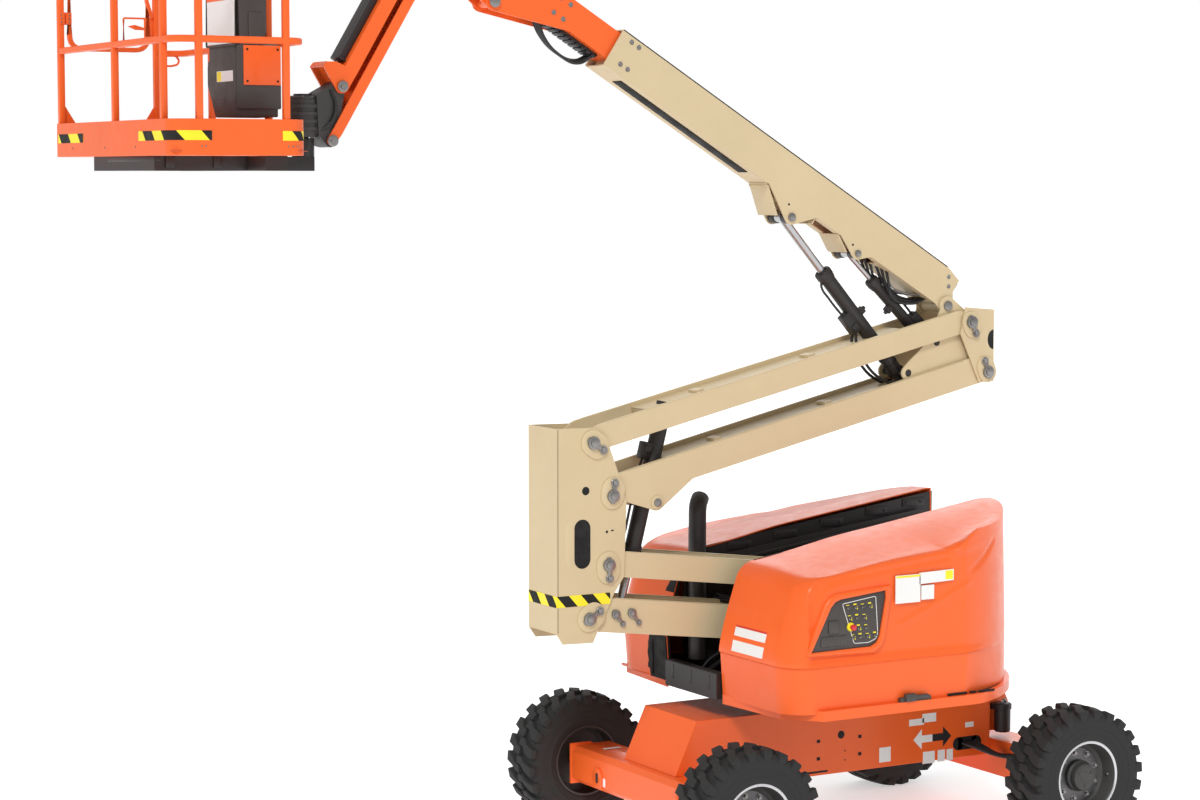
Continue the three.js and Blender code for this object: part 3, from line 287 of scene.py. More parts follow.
# --- mesh building
class Form:
    """A mesh in the making: each call adds one closed shape."""

    def __init__(self) -> None:
        """Starts empty."""
        self.bm = bmesh.new()

    def _bevel(self, verts: Iterable[bmesh.types.BMVert], width: float, segments: int) -> None:
        """Rounds the sharp edges of a shape just added."""
        if width <= 0:
            return
        edges = {edge for vert in verts for edge in vert.link_edges
            if len(edge.link_faces) == 2 and edge.calc_face_angle() > radians(25)}
        bmesh.ops.bevel(self.bm, geom=list(edges), offset=width, offset_type="OFFSET", segments=segments,
            profile=0.5, affect="EDGES", material=-1, clamp_overlap=True)

    def box(self, low: Point, high: Point, bevel: float = 0.0, segments: int = 2) -> "Form":
        """A block between two opposite corners."""
        low, high = Vector(low), Vector(high)
        size = high - low
        matrix = Matrix.Translation((low + high) / 2) @ Matrix.Diagonal((*map(abs, size), 1.0))
        made = bmesh.ops.create_cube(self.bm, size=1.0, matrix=matrix)
        self._bevel(made["verts"], bevel, segments)
        return self

    def rod(self, start: Point, end: Point, radius: float, end_radius: float | None = None,
            sides: int = 24, bevel: float = 0.0, segments: int = 2) -> "Form":
        """A round bar, or a cone, between two points."""
        start, end = Vector(start), Vector(end)
        turn = (end - start).to_track_quat("Z", "Y").to_matrix().to_4x4()
        matrix = Matrix.Translation((start + end) / 2) @ turn
        made = bmesh.ops.create_cone(self.bm, cap_ends=True, segments=sides, radius1=radius,
            radius2=radius if end_radius is None else end_radius, depth=(end - start).length, matrix=matrix)
        self._bevel(made["verts"], bevel, segments)
        return self

    def prism(self, outline: Sequence[Point], direction: Point, bevel: float = 0.0, segments: int = 2) -> "Form":
        """A flat outline of points, drawn out along a direction."""
        verts = [self.bm.verts.new(Vector(point)) for point in outline]
        face = self.bm.faces.new(verts)
        made = bmesh.ops.extrude_face_region(self.bm, geom=[face])["geom"]
        moved = [item for item in made if isinstance(item, bmesh.types.BMVert)]
        bmesh.ops.translate(self.bm, verts=moved, vec=Vector(direction))
        self.square(verts + moved)
        self._bevel(verts + moved, bevel, segments)
        return self

    def plate(self, outline: Sequence[Sequence[float]], y0: float, y1: float,
            bevel: float = 0.0, segments: int = 2) -> "Form":
        """A plate across the machine: its outline has X and Z, and it spans two values of Y."""
        return self.prism([(u, y0, v) for u, v in outline], (0.0, y1 - y0, 0.0), bevel, segments)

    def ring(self, profile: Sequence[Sequence[float]], centre: Point, axis: Point, steps: int = 64) -> "Form":
        """A closed outline of (radius, distance along the axis), swept a full turn round the axis."""
        centre, axis = Vector(centre), Vector(axis).normalized()
        square = axis.orthogonal().normalized()
        verts = [self.bm.verts.new(centre + square * radius + axis * distance) for radius, distance in profile]
        edges = [self.bm.edges.new((a, b)) for a, b in zip(verts, verts[1:] + verts[:1])]
        made = bmesh.ops.spin(self.bm, geom=verts + edges, cent=centre, axis=axis, angle=2 * pi,
            steps=steps, use_merge=True, use_duplicate=False)
        seeds = {item for item in made["geom_last"] if isinstance(item, bmesh.types.BMVert)} | set(verts)
        self.square(self._island(seeds))
        return self

    def _island(self, seeds: set) -> list:
        """Every vertex joined to the seeds."""
        found, open_ends = set(seeds), list(seeds)
        while open_ends:
            for edge in open_ends.pop().link_edges:
                for vert in edge.verts:
                    if vert not in found:
                        found.add(vert)
                        open_ends.append(vert)
        return [vert for vert in found if vert.is_valid]

    def square(self, verts: Sequence) -> None:
        """Turns the faces of a shape outwards."""
        faces = list({face for vert in verts for face in vert.link_faces})
        bmesh.ops.recalc_face_normals(self.bm, faces=faces)

    def hose(self, points: Sequence[Point], radius: float, sides: int = 5) -> "Form":
        """A round hose through points, on one smooth curve."""
        curve = bpy.data.curves.new("hose", "CURVE")
        curve.dimensions = "3D"
        curve.bevel_depth = radius
        curve.bevel_resolution = sides - 3
        curve.resolution_u = 8
        curve.use_fill_caps = True
        spline = curve.splines.new("BEZIER")
        spline.bezier_points.add(len(points) - 1)
        for knot, place in zip(spline.bezier_points, points):
            knot.co = Vector(place)
            knot.handle_left_type = knot.handle_right_type = "AUTO"
        return self._take(curve)

    def rail(self, points: Sequence[Point], size: float, bend: float, closed: bool = False) -> "Form":
        """A square tube through points, its corners bent to a radius."""
        half, round_off = size / 2, size * 0.16
        section = bpy.data.curves.new("section", "CURVE")
        section.dimensions = "2D"
        outline = section.splines.new("POLY")
        corners = [(sx * (half - (round_off if k else 0)), sy * (half - (0 if k else round_off))) for sx, sy,
            order in ((1, 1, (0, 1)), (-1, 1, (1, 0)), (-1, -1, (0, 1)), (1, -1, (1, 0))) for k in order]
        outline.points.add(len(corners) - 1)
        for knot, (u, v) in zip(outline.points, corners):
            knot.co = (u, v, 0.0, 1.0)
        outline.use_cyclic_u = True
        holder = bpy.data.objects.new("section", section)
        curve = bpy.data.curves.new("rail", "CURVE")
        curve.dimensions = "3D"
        curve.bevel_mode = "OBJECT"
        curve.bevel_object = holder
        curve.twist_mode = "Z_UP"
        curve.use_fill_caps = not closed
        spline = curve.splines.new("POLY")
        places = bent(points, bend, closed)
        spline.points.add(len(places) - 1)
        for knot, place in zip(spline.points, places):
            knot.co = (*place, 1.0)
        spline.use_cyclic_u = closed
        self._take(curve)
        bpy.data.objects.remove(holder)
        return self

    def _take(self, curve: bpy.types.Curve) -> "Form":
        """Adds a curve's surface as a mesh."""
        holder = shown("curve", curve)
        bpy.context.view_layer.update()
        mesh = bpy.data.meshes.new_from_object(holder.evaluated_get(bpy.context.evaluated_depsgraph_get()))
        before = set(self.bm.verts)
        self.bm.from_mesh(mesh)
        added = [vert for vert in self.bm.verts if vert not in before]
        bmesh.ops.remove_doubles(self.bm, verts=added, dist=1e-6)
        self.square([vert for vert in added if vert.is_valid])
        bpy.data.objects.remove(holder)
        bpy.data.meshes.remove(mesh)
        bpy.data.curves.remove(curve)
        return self

    def band(self, path: Sequence[Sequence[float]], low: float, high: float, proud: float,
             depth: float = 0.004) -> "Form":
        """A thin upright strip between two heights, its face standing proud on the right of a path of X and Y."""
        rows = []
        for i, place in enumerate(path):
            ahead = Vector(path[min(i + 1, len(path) - 1)]) - Vector(path[max(i - 1, 0)])
            out = Vector((ahead.y, -ahead.x)).normalized()
            front, back = Vector(place) + out * proud, Vector(place) + out * (proud - depth)
            rows.append([self.bm.verts.new(corner) for corner in ((*front, low), (*front, high), (*back, high),
                (*back, low))])
        self.skinned(rows)
        self.square([vert for row in rows for vert in row])
        return self

    def skinned(self, rows: Sequence[Sequence[bmesh.types.BMVert]]) -> list[bmesh.types.BMFace]:
        """Closes a tube through rows of vertices, with a cap on each end."""
        faces = [self.bm.faces.new(rows[0]), self.bm.faces.new(rows[-1])]
        for first, last in zip(rows, rows[1:]):
            for k in range(len(first)):
                n = (k + 1) % len(first)
                faces.append(self.bm.faces.new((first[k], first[n], last[n], last[k])))
        return faces

    def slants(self, path: Sequence[Sequence[float]], low: float, high: float, proud: float,
               width: float, start: float = 0.0) -> "Form":
        """Bars that slant down along a path of X and Y.

        Args:
            path: the places that the band follows.
            low: height of the band's lower edge.
            high: height of its upper edge.
            proud: how far the bars stand out, to the right of the path.
            width: width of a bar, and of the gap after it.
            start: length of path before the first bar.

        Returns:
            The form itself.
        """
        places = [Vector(place) for place in path]
        lengths = [0.0]
        for first, last in zip(places, places[1:]):
            lengths.append(lengths[-1] + (last - first).length)

        def spot(length: float, height: float) -> tuple[float, float, float]:
            """The place at a length along the path."""
            length = min(max(length, 0.0), lengths[-1])
            k = max(i for i in range(len(places) - 1) if lengths[i] <= length + 1e-9)
            run = (places[k + 1] - places[k]).normalized()
            place = places[k] + run * (length - lengths[k]) + Vector((run.y, -run.x)) * proud
            return (place.x, place.y, height)

        lean, steps, least = (high - low) * 0.9, 16, 1e-5
        at = start
        while at < lengths[-1]:
            rows = [[self.bm.verts.new(spot(at + width * k / steps + lean * (1 - rise / steps),
                low + (high - low) * rise / steps)) for rise in range(steps + 1)] for k in range(steps + 1)]
            for first, last in zip(rows, rows[1:]):
                wide = [(a.co - b.co).length > least for a, b in zip(first, last)]
                for k in range(steps):
                    if wide[k] and wide[k + 1]:
                        self.bm.faces.new((first[k], last[k], last[k + 1], first[k + 1]))
            at += width * 2
        loose = [vert for vert in self.bm.verts if not vert.link_faces]
        bmesh.ops.delete(self.bm, geom=loose, context="VERTS")
        return self

    def bolt(self, place: Point, axis: Point, radius: float, height: float, washer: bool = True) -> "Form":
        """A hexagon head on a washer, standing on a surface."""
        place, axis = Vector(place), Vector(axis).normalized()
        if washer:
            self.rod(place - axis * 0.002, place + axis * 0.003, radius * 1.6, sides=20, bevel=0.001, segments=1)
        self.rod(place, place + axis * height, radius, sides=6, bevel=radius * 0.12, segments=1)
        return self

    def node(self, name: str) -> "Form":
        """A copy of a CAD node's mesh, with its loose triangles joined into flat faces."""
        made = bmesh.new()
        made.from_mesh(frame["nodes"][name].data)
        bmesh.ops.remove_doubles(made, verts=made.verts, dist=2e-5)
        bmesh.ops.dissolve_limit(made, angle_limit=radians(0.6), use_dissolve_boundaries=False,
            verts=made.verts, edges=made.edges)
        mesh = bpy.data.meshes.new("copy")
        made.to_mesh(mesh)
        made.free()
        self.bm.from_mesh(mesh)
        bpy.data.meshes.remove(mesh)
        return self

    def placed(self, matrix: Matrix) -> "Form":
        """Moves everything so far."""
        bmesh.ops.transform(self.bm, matrix=matrix, verts=self.bm.verts)
        if matrix.determinant() < 0:
            bmesh.ops.reverse_faces(self.bm, faces=self.bm.faces)
        return self

    def mirrored(self, centre: float = 0.0) -> "Form":
        """Adds the mirror image across the machine's middle plane, or one beside it."""
        copy = bmesh.ops.duplicate(self.bm, geom=list(self.bm.verts) + list(self.bm.edges) + list(self.bm.faces))
        verts = [item for item in copy["geom"] if isinstance(item, bmesh.types.BMVert)]
        faces = [item for item in copy["geom"] if isinstance(item, bmesh.types.BMFace)]
        matrix = Matrix.Translation((0, 2 * centre, 0)) @ Matrix.Diagonal((1, -1, 1, 1))
        bmesh.ops.transform(self.bm, matrix=matrix, verts=verts)
        bmesh.ops.reverse_faces(self.bm, faces=faces)
        return self

    def finish(self, name: str, paint: Paint, body: str, smooth: float = 32.0,
            edge: float = 0.0, replaces: Sequence[str] = ()) -> bpy.types.Object:
        """Makes the object, dresses it and hangs it on its body.

        Args:
            name: the piece's name.
            paint: its finish.
            body: the CAD body it moves with.
            smooth: the angle, in degrees, below which an edge is shaded smooth.
            edge: width of a rounding put on every sharper edge.
            replaces: CAD nodes that it stands for.

        Returns:
            The finished object.
        """
        mesh = bpy.data.meshes.new(name)
        self.bm.to_mesh(mesh)
        self.bm.free()
        mesh.polygons.foreach_set("use_smooth", [True] * len(mesh.polygons))
        mesh.set_sharp_from_angle(angle=radians(smooth))
        mesh.materials.append(paint.value.material())
        made = shown(name, mesh)
        if edge:
            bevel = made.modifiers.new("edges", "BEVEL")
            bevel.width = edge
            bevel.segments = 2
            bevel.limit_method = "ANGLE"
            bevel.angle_limit = radians(smooth)
            bevel.harden_normals = True
        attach(made, body)
        if replaces:
            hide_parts(*replaces)
        LOG.info("%s: %d faces on %s", name, len(mesh.polygons), body)
        return made


def shown(name: str, data: bpy.types.ID) -> bpy.types.Object:
    """A new object, put into the scene."""
    made = bpy.data.objects.new(name, data)
    bpy.context.scene.collection.objects.link(made)
    return made


def both_faces(face: float, deep: float, proud: float) -> list[tuple[int, float, float]]:
    """The side and the two values of Y of a thin piece let into a face, near and far."""
    return [(side, *sorted((side * (face - deep), side * (face + proud)))) for side in (-1, 1)]


def arc(radius: float, first: float, last: float, steps: int) -> list[tuple[float, float]]:
    """Points of an arc about the origin, between two angles in degrees."""
    turns = [radians(first + (last - first) * step / steps) for step in range(steps + 1)]
    return [(radius * cos(a), radius * sin(a)) for a in turns]


def bent(points: Sequence[Point], bend: float, closed: bool, steps: int = 6) -> list[Vector]:
    """Points of a path with each corner as a short arc."""
    corners = [Vector(point) for point in points]
    count = len(corners)
    path: list[Vector] = []
    for i, corner in enumerate(corners):
        if not closed and i in (0, count - 1):
            path.append(corner)
            continue
        back = (corners[i - 1] - corner).normalized() * bend
        ahead = (corners[(i + 1) % count] - corner).normalized() * bend
        for step in range(steps + 1):
            share = step / steps
            path.append(corner + back * (1 - share) ** 2 + ahead * share ** 2)
    return path


def soften(node: str, paint: Paint, edge: float = 0.003, smooth: float = 32.0) -> bpy.types.Object:
    """Stands a copy of a CAD node, with its edges rounded, in its place."""
    body = next(name for name, nodes in frame["record"]["behaviour"]["bodies"].items() if node in nodes)
    return Form().node(node).finish(f"{node}_skin", paint, body, smooth, edge, [node])


def dress(node: str, paint: Paint) -> None:
    """Gives a CAD node its finish, keeping its mesh."""
    mesh = frame["nodes"][node].data
    mesh.materials.clear()
    mesh.materials.append(paint.value.material())


# --- wheels
@dataclass(frozen=True)
class Wheel:
    """One wheel: a cleated tyre on a dished rim. Its local outer side is -Y."""

    body: str
    centre: Point
    side: int
    lugs: int = 23
    lug_angle: float = 8.2
    lug_shift: float = 7.5
    lug_edge: float = 0.0035
    wall_rings: Sequence[float] = (0.262, 0.304)
    rim_radius: float = 0.2155
    dish_depth: float = -0.03
    hub_radius: float = 0.082
    bolts: int = 9
    bolt_circle: float = 0.138

    @property
    def matrix(self) -> Matrix:
        """From the wheel's own frame to the machine's."""
        turn = Matrix.Rotation(0.0 if self.side < 0 else pi, 4, "Z")
        return Matrix.Translation(self.centre) @ turn

    def carcass(self) -> Form:
        """The tyre without its lugs."""
        half = [(self.rim_radius, 0.126), (0.226, 0.136), (0.246, 0.1405)]
        for ring in self.wall_rings:
            half += [(ring - 0.004, 0.1455), (ring - 0.002, 0.1478), (ring + 0.002, 0.1478), (ring + 0.004, 0.1462)]
        half += [(0.336, 0.1475), (0.362, 0.142), (0.38, 0.13), (0.386, 0.108), (0.389, 0.05)]
        profile = [(r, -y) for r, y in half] + [(r, y) for r, y in reversed(half)]
        return Form().ring(profile, (0, 0, 0), (0, 1, 0), 96)

    def lug(self, form: Form, angle: float, side: int) -> None:
        """One cleat, from the shoulder across the middle, with a step in it."""
        step, half = radians(self.lug_shift), radians(self.lug_angle) / 2
        rows = []
        for radius, y, deep, deep_y, shift, width in ((0.35, 0.1455, 0.33, 0.12, 0.0, 0.8),
                (0.384, 0.1535, 0.36, 0.12, 0.0, 0.95), (0.4075, 0.144, 0.38, 0.11, 0.0, 1.0),
                (0.4125, 0.105, 0.384, 0.1, 0.15, 1.0), (0.414, 0.068, 0.385, 0.068, 0.45, 0.86),
                (0.4148, 0.038, 0.386, 0.038, 0.95, 0.86), (0.415, -0.012, 0.386, -0.012, 1.1, 0.8)):
            row = []
            for turn, r, across, flare in ((-1, radius, y, 1.0), (1, radius, y, 1.0), (1, deep, deep_y, 1.25),
                    (-1, deep, deep_y, 1.25)):
                a = angle + side * step * shift + turn * half * width * flare
                row.append(form.bm.verts.new((r * cos(a), side * across, r * sin(a))))
            rows.append(row)
        bmesh.ops.recalc_face_normals(form.bm, faces=form.skinned(rows))

    def tread(self) -> Form:
        """Every cleat, the two sides staggered by half a step."""
        form = Form()
        for side in (-1, 1):
            for i in range(self.lugs):
                self.lug(form, (i + (0.25 if side < 0 else 0.75)) * 2 * pi / self.lugs, side)
        return form

    def barrel(self) -> Form:
        """The rim's barrel and its dish."""
        r, d = self.rim_radius, self.dish_depth
        profile = [(r, -0.128), (r, 0.128), (r - 0.012, 0.128), (r - 0.02, 0.03), (0.17, d + 0.035),
            (0.115, d + 0.03), (0.062, d + 0.03), (0.062, d), (0.115, d), (0.165, d + 0.004), (0.186, d - 0.012),
            (0.196, d - 0.045), (0.203, -0.1), (r - 0.006, -0.122)]
        return Form().ring(profile, (0, 0, 0), (0, 1, 0), 96)

    def dish(self) -> Form:
        """The grey face of the dish."""
        d = self.dish_depth - 0.0012
        profile = [(0.084, d), (0.115, d), (0.163, d + 0.004), (0.163, d + 0.008), (0.084, d + 0.006)]
        return Form().ring(profile, (0, 0, 0), (0, 1, 0), 96)

    def nuts(self) -> Form:
        """The wheel nuts."""
        form = Form()
        for i in range(self.bolts):
            a = 2 * pi * (i + 0.5) / self.bolts
            place = (self.bolt_circle * cos(a), self.dish_depth, self.bolt_circle * sin(a))
            form.bolt(place, (0, -1, 0), 0.012, 0.018)
        form.rod((0.186, -0.052, 0.0), (0.18, -0.094, 0.0), 0.005, sides=10)
        return form

    def hub(self) -> Form:
        """The drive's hub, with a stepped and rounded cover."""
        r = self.hub_radius
        profile = [(0.0, -0.11), (0.03, -0.11), (0.033, -0.107), (r - 0.016, -0.107), (r - 0.005, -0.102), (r, -0.09),
            (r, -0.066), (r + 0.006, -0.062), (r + 0.012, -0.056), (r + 0.012, self.dish_depth), (0.0, -0.03)]
        form = Form().ring(profile, (0, 0, 0), (0, 1, 0), 64)
        for i in range(3):
            a = 2 * pi * i / 3 + 0.5
            form.bolt((0.052 * cos(a), -0.107, 0.052 * sin(a)), (0, -1, 0), 0.008, 0.005, washer=False)
        return form

    def build(self) -> None:
        """Makes the tyre and the rim."""
        tyre, rim = f"tyre_{self.body[6:]}", f"rim_{self.body[6:]}"
        lip = [(-0.009, -0.13), (-0.002, -0.1335), (0.006, -0.1325), (0.004, -0.127), (-0.007, -0.124)]
        lip = Form().ring([(self.rim_radius + r, y) for r, y in lip], (0, 0, 0), (0, 1, 0), 96)
        for name, form, paint, node in (
            ("carcass", self.carcass(), Paint.RUBBER, tyre), ("tread", self.tread(), Paint.RUBBER, tyre),
            ("rim", self.barrel(), Paint.CAST, rim), ("dish", self.dish(), Paint.DISH, rim),
            ("nuts", self.nuts(), Paint.BOLT, rim), ("hub", self.hub(), Paint.CAST, rim), ("lip", lip, Paint.LIP, rim),
        ):
            edge = self.lug_edge if name == "tread" else 0.0
            form.placed(self.matrix).finish(f"{self.body}_{name}", paint, self.body, edge=edge, replaces=[node])


# --- turret
def smoothstep(value: float) -> float:
    """0 below 0, 1 above 1, and a smooth rise between."""
    t = max(0.0, min(1.0, value))
    return t * t * (3 - 2 * t)


def side_of_path(path: Sequence[Sequence[float]], x: float, z: float) -> float:
    """Distance from a path of (x, z) points, positive on its right."""
    best, sign = 1e9, 1.0
    for (ax, az), (bx, bz) in zip(path, path[1:]):
        dx, dz = bx - ax, bz - az
        t = max(0.0, min(1.0, ((x - ax) * dx + (z - az) * dz) / (dx * dx + dz * dz)))
        ex, ez = x - ax - dx * t, z - az - dz * t
        away = hypot(ex, ez)
        if away < best - 1e-9:
            best, sign = away, 1.0 if dz * ex - dx * ez > 0 else -1.0
    return best * sign


@dataclass(frozen=True)
class Hood:
    """One moulded hood, open below and towards the booms; it is drawn for the near side."""

    side: int
    body: str
    node: str
    front: float = 0.508
    tail: float = 2.522
    inner: float = 0.3
    outer: float = 1.046
    bottom: float = 0.968
    crease: float = 1.235
    ridge: float = 1.775
    ridge_x: float = 0.736
    rise: float = 0.145
    corner: float = 0.18
    brow: float = 0.075
    wall: float = 0.007
    cells: int = 84
    step_depth: float = 0.03
    shoulder: Sequence[Sequence[float]] = ((0.628, 1.235), (0.64, 1.45), (0.652, 1.6), (0.668, 1.662), (0.705, 1.712),
        (0.765, 1.738), (1.05, 1.772), (1.4, 1.808), (1.7, 1.838), (1.9, 1.86))
    opening: Sequence[Sequence[float]] = ((0.655, 1.322), (0.785, 1.567), (0.815, 1.598), (0.85, 1.61), (1.158, 1.64),
        (1.163, 1.6), (1.122, 1.385), (1.1, 1.345), (1.058, 1.326))

    def roof(self, x: float) -> float:
        """Height of the inner top edge."""
        return self.ridge + self.rise * (min(x, 2.42) - self.ridge_x)

    def shaped(self, u: Vector) -> Vector:
        """A point of the unit box, moved to the hood's surface."""
        low = Vector((self.front, -self.outer, self.bottom))
        high = Vector((self.tail, -self.inner, self.ridge))
        p = Vector(low[i] + (high[i] - low[i]) * u[i] for i in range(3))
        r, brow = self.corner, self.brow
        core = Vector((max(p.x, low.x + r), max(p.y, low.y + r)))
        away = Vector((p.x, p.y)) - core
        reach = max(abs(away.x), abs(away.y))
        if reach > 1e-9:
            out = away.normalized()
            over, up = max(0.0, brow - r + reach), max(0.0, p.z - high.z + brow)
            if over > 0 and up > 0:
                share = max(over, up) / hypot(over, up)
                reach, p.z = reach - over * (1 - share), high.z - brow + up * share
            p.x, p.y = core.x + out.x * reach, core.y + out.y * reach
        if abs(p.z - self.crease) < 0.0096:
            p.z = self.crease + copysign(0.004, p.z - self.crease)
        lift = smoothstep((p.z - self.crease) / (self.ridge - self.crease))
        reached = p.x if self.side < 0 else self.rounded_tail(p.copy()).x
        p.z += lift * (self.roof(reached) - self.ridge)
        p.z -= lift * (0.03 + 0.045 * smoothstep((p.x - 0.8) / 1.2)) * smoothstep((-p.y - 0.4) / 0.7)
        p.x += (self.nose(p.z) - self.front) * smoothstep((1.4 - p.x) / 0.8)
        return self.detailed(self.rounded_tail(p))

    def rounded_tail(self, p: Vector) -> Vector:
        """Bends the rear to the turret's tail circle."""
        reach = sqrt(max(0.0, (1.087) ** 2 - p.y * p.y))
        start = 1.6
        if p.x > start:
            share = (p.x - start) / (self.tail - start)
            p.x = start + share * (SLEW.x + reach - start - 0.03 * max(0.0, p.z - 1.3))
        return p

    def detailed(self, p: Vector) -> Vector:
        """Presses in the lower band, the side panel behind its shoulder and the small ribs."""
        under = (0.011 if p.z < self.crease else 0.0) + max(0.0, self.crease - p.z) * 0.09
        wall = smoothstep((-p.y - 0.78) / 0.2)
        front = smoothstep((0.75 - p.x) / 0.2)
        p.y += under * wall
        p.x += under * front * 0.8
        if p.z > self.crease - 0.01 and wall > 0:
            away = side_of_path(self.shoulder, p.x, p.z)
            fade = smoothstep((2.02 - p.x) / 0.55) * smoothstep((p.z - self.crease) / 0.05)
            p.y += self.step_depth * smoothstep((away + 0.006) / 0.045) * fade * wall
            rib = side_of_path(((1.2, 1.405), (1.45, 1.5), (1.75, 1.64)), p.x, p.z)
            p.y -= 0.006 * smoothstep(1 - abs(rib) / 0.03) * wall * smoothstep((p.x - 1.2) / 0.1)
            swoosh = side_of_path(((1.74, 1.69), (1.88, 1.76), (2.02, 1.86)), p.x, p.z)
            p.y += 0.012 * smoothstep(1 - abs(swoosh) / 0.022) * wall * smoothstep((p.x - 1.72) / 0.12)
        return p

    def skin(self) -> Form:
        """The moulded shell."""
        form = Form()
        bmesh.ops.create_cube(form.bm, size=1.0, matrix=Matrix.Translation((0.5, 0.5, 0.5)))
        gone = [face for face in form.bm.faces if face.normal.z < -0.5 or face.normal.y > 0.5]
        bmesh.ops.delete(form.bm, geom=gone, context="FACES")
        bmesh.ops.subdivide_edges(form.bm, edges=form.bm.edges[:], cuts=self.cells, use_grid_fill=True)
        for vert in form.bm.verts:
            vert.co = self.shaped(vert.co.copy())
        bmesh.ops.recalc_face_normals(form.bm, faces=form.bm.faces[:])
        roof = max(form.bm.faces, key=lambda face: face.calc_center_median().z)
        if roof.normal.z < 0:
            bmesh.ops.reverse_faces(form.bm, faces=form.bm.faces[:])
        return form

    def turned(self, form: Form) -> Form:
        """A near piece, or its mirror image for the far side."""
        return form if self.side < 0 else form.placed(Matrix.Diagonal((1, -1, 1, 1)))

    def shell(self) -> bpy.types.Object:
        """The hood with its thickness and, on the near side, the opening of the control panel."""
        name = self.node
        made = self.turned(self.skin()).finish(f"{name}_shell", Paint.ORANGE, self.body, 40.0, replaces=[name])
        solid = made.modifiers.new("wall", "SOLIDIFY")
        solid.thickness = self.wall
        solid.offset = -1.0
        if self.side < 0:
            self.cut_opening(made)
        return made

    def cut_opening(self, made: bpy.types.Object) -> None:
        """Cuts the window of the control panel through the shell."""
        cutter = Form().plate(self.opening, -1.2, -0.9)
        mesh = bpy.data.meshes.new("cutter")
        cutter.bm.to_mesh(mesh)
        cutter.bm.free()
        holder = shown("cutter", mesh)
        cut = made.modifiers.new("window", "BOOLEAN")
        cut.object = holder
        cut.operation = "DIFFERENCE"
        cut.solver = "EXACT"
        bpy.context.view_layer.update()
        done = bpy.data.meshes.new_from_object(made.evaluated_get(bpy.context.evaluated_depsgraph_get()))
        made.modifiers.clear()
        made.data = done
        done.set_sharp_from_angle(angle=radians(40))
        bpy.data.objects.remove(holder)

    def grown(self, outline: Sequence[Sequence[float]], grow: float) -> list[tuple[float, float]]:
        """An outline moved away from its middle."""
        middle = Vector((sum(p[0] for p in outline), sum(p[1] for p in outline))) / len(outline)
        return [tuple(Vector(point) + (Vector(point) - middle).normalized() * grow) for point in outline]

    def window_frame(self) -> Form:
        """The raised lip round the control panel's window."""
        form = Form()
        rings = ((0.046, -1.0235), (0.036, -1.036), (0.014, -1.0375), (0.0, -1.031), (0.0, -1.004))
        loops = [[form.bm.verts.new((x, y, z)) for x, z in self.grown(self.opening, grow)] for grow, y in rings]
        loops.append([form.bm.verts.new((x, -1.004, z)) for x, z in self.grown(self.opening, 0.046)])
        count = len(self.opening)
        for first, last in zip(loops, loops[1:] + loops[:1]):
            for i in range(count):
                k = (i + 1) % count
                form.bm.faces.new((first[i], first[k], last[k], last[i]))
        bmesh.ops.recalc_face_normals(form.bm, faces=form.bm.faces[:])
        return form

    def latch(self) -> Form:
        """The black pull latch near the lower edge."""
        y = -1.03
        form = Form().box((1.262, y - 0.012, 0.984), (1.478, y + 0.02, 1.012), 0.005)
        form.box((1.29, y - 0.03, 0.99), (1.36, y, 1.036), 0.006)
        form.box((1.36, y - 0.022, 1.0), (1.455, y, 1.024), 0.006)
        form.rod((1.325, y - 0.032, 1.013), (1.325, y, 1.013), 0.012, sides=20, bevel=0.002)
        return form

    def edges(self) -> Form:
        """The folded lower hem and the inner flange."""
        form = Form()
        z = self.bottom + 0.011
        form.box((0.545, -0.88, z - 0.008), (0.56, -0.305, z + 0.008), 0.003)
        form.box((0.7, -1.0165, z - 0.008), (1.95, -1.004, z + 0.008), 0.003)
        return form

    def inner_panel(self) -> Form:
        """The black wall towards the booms, with its frame and hinge brackets."""
        form = Form()
        y0, y1 = -self.inner - 0.008, -self.inner - 0.003
        ends = (0.64, 2.47)
        form.plate([(ends[0], 1.24), (ends[1], 1.24), (ends[1], self.roof(ends[1]) - 0.02),
            (ends[0] + 0.1, self.roof(ends[0]) - 0.004), (ends[0], 1.62)], y0, y1)
        for x in (0.95, 1.28, 1.62, 1.96, 2.24):
            top = self.roof(x) - 0.03
            form.box((x, y1, top - 0.05), (x + 0.17, y1 + 0.006, top), 0.002)
            for place in (0.03, 0.14):
                form.rod((x + place, y1, top - 0.025), (x + place, y1 + 0.012, top - 0.025), 0.008, sides=6)
        return form

    def front_cutaway_shade(self) -> Form:
        """The cut-away at the inner corner of the far hood's front, drawn as a dark recess of painted shade, with its
        dark post and hinges.
        """
        form, inner, depth = Form(), 0.301, 0.03
        rows = [(self.bottom + 0.004, 0.48), (1.113, 0.52), (1.25, 0.48), (1.514, 0.393), (1.66, 0.335)]
        rows = [(self.nose(z) - 0.0012 + 0.01 * (z < self.crease), far, z) for z, far in rows]
        for (x0, far0, z0), (x1, far1, z1) in zip(rows, rows[1:]):
            loops = [[form.bm.verts.new(p) for p in ((x0 + back, inner, z0), (x0 + back, far0, z0),
                (x1 + back, far1, z1), (x1 + back, inner, z1))] for back in (0.0, depth)]
            form.skinned(loops)
            form.square(loops[0] + loops[1])
        form.rod((0.5145, 0.455, 0.99), (0.5145, 0.455, 1.2), 0.01, sides=16)
        for z in (1.02, 1.15):
            form.box((0.5115, 0.445, z), (0.516, 0.505, z + 0.035), 0.001)
        return form

    def slot_shades(self) -> Form:
        """Three drain openings above the hem, drawn as dark strips of painted shade."""
        form = Form()
        for x0, x1 in ((1.612, 1.748), (1.772, 1.812), (1.836, 1.948)):
            form.box((x0, -1.0245, 0.9905), (x1, -1.012, 1.003), 0.002)
        return form

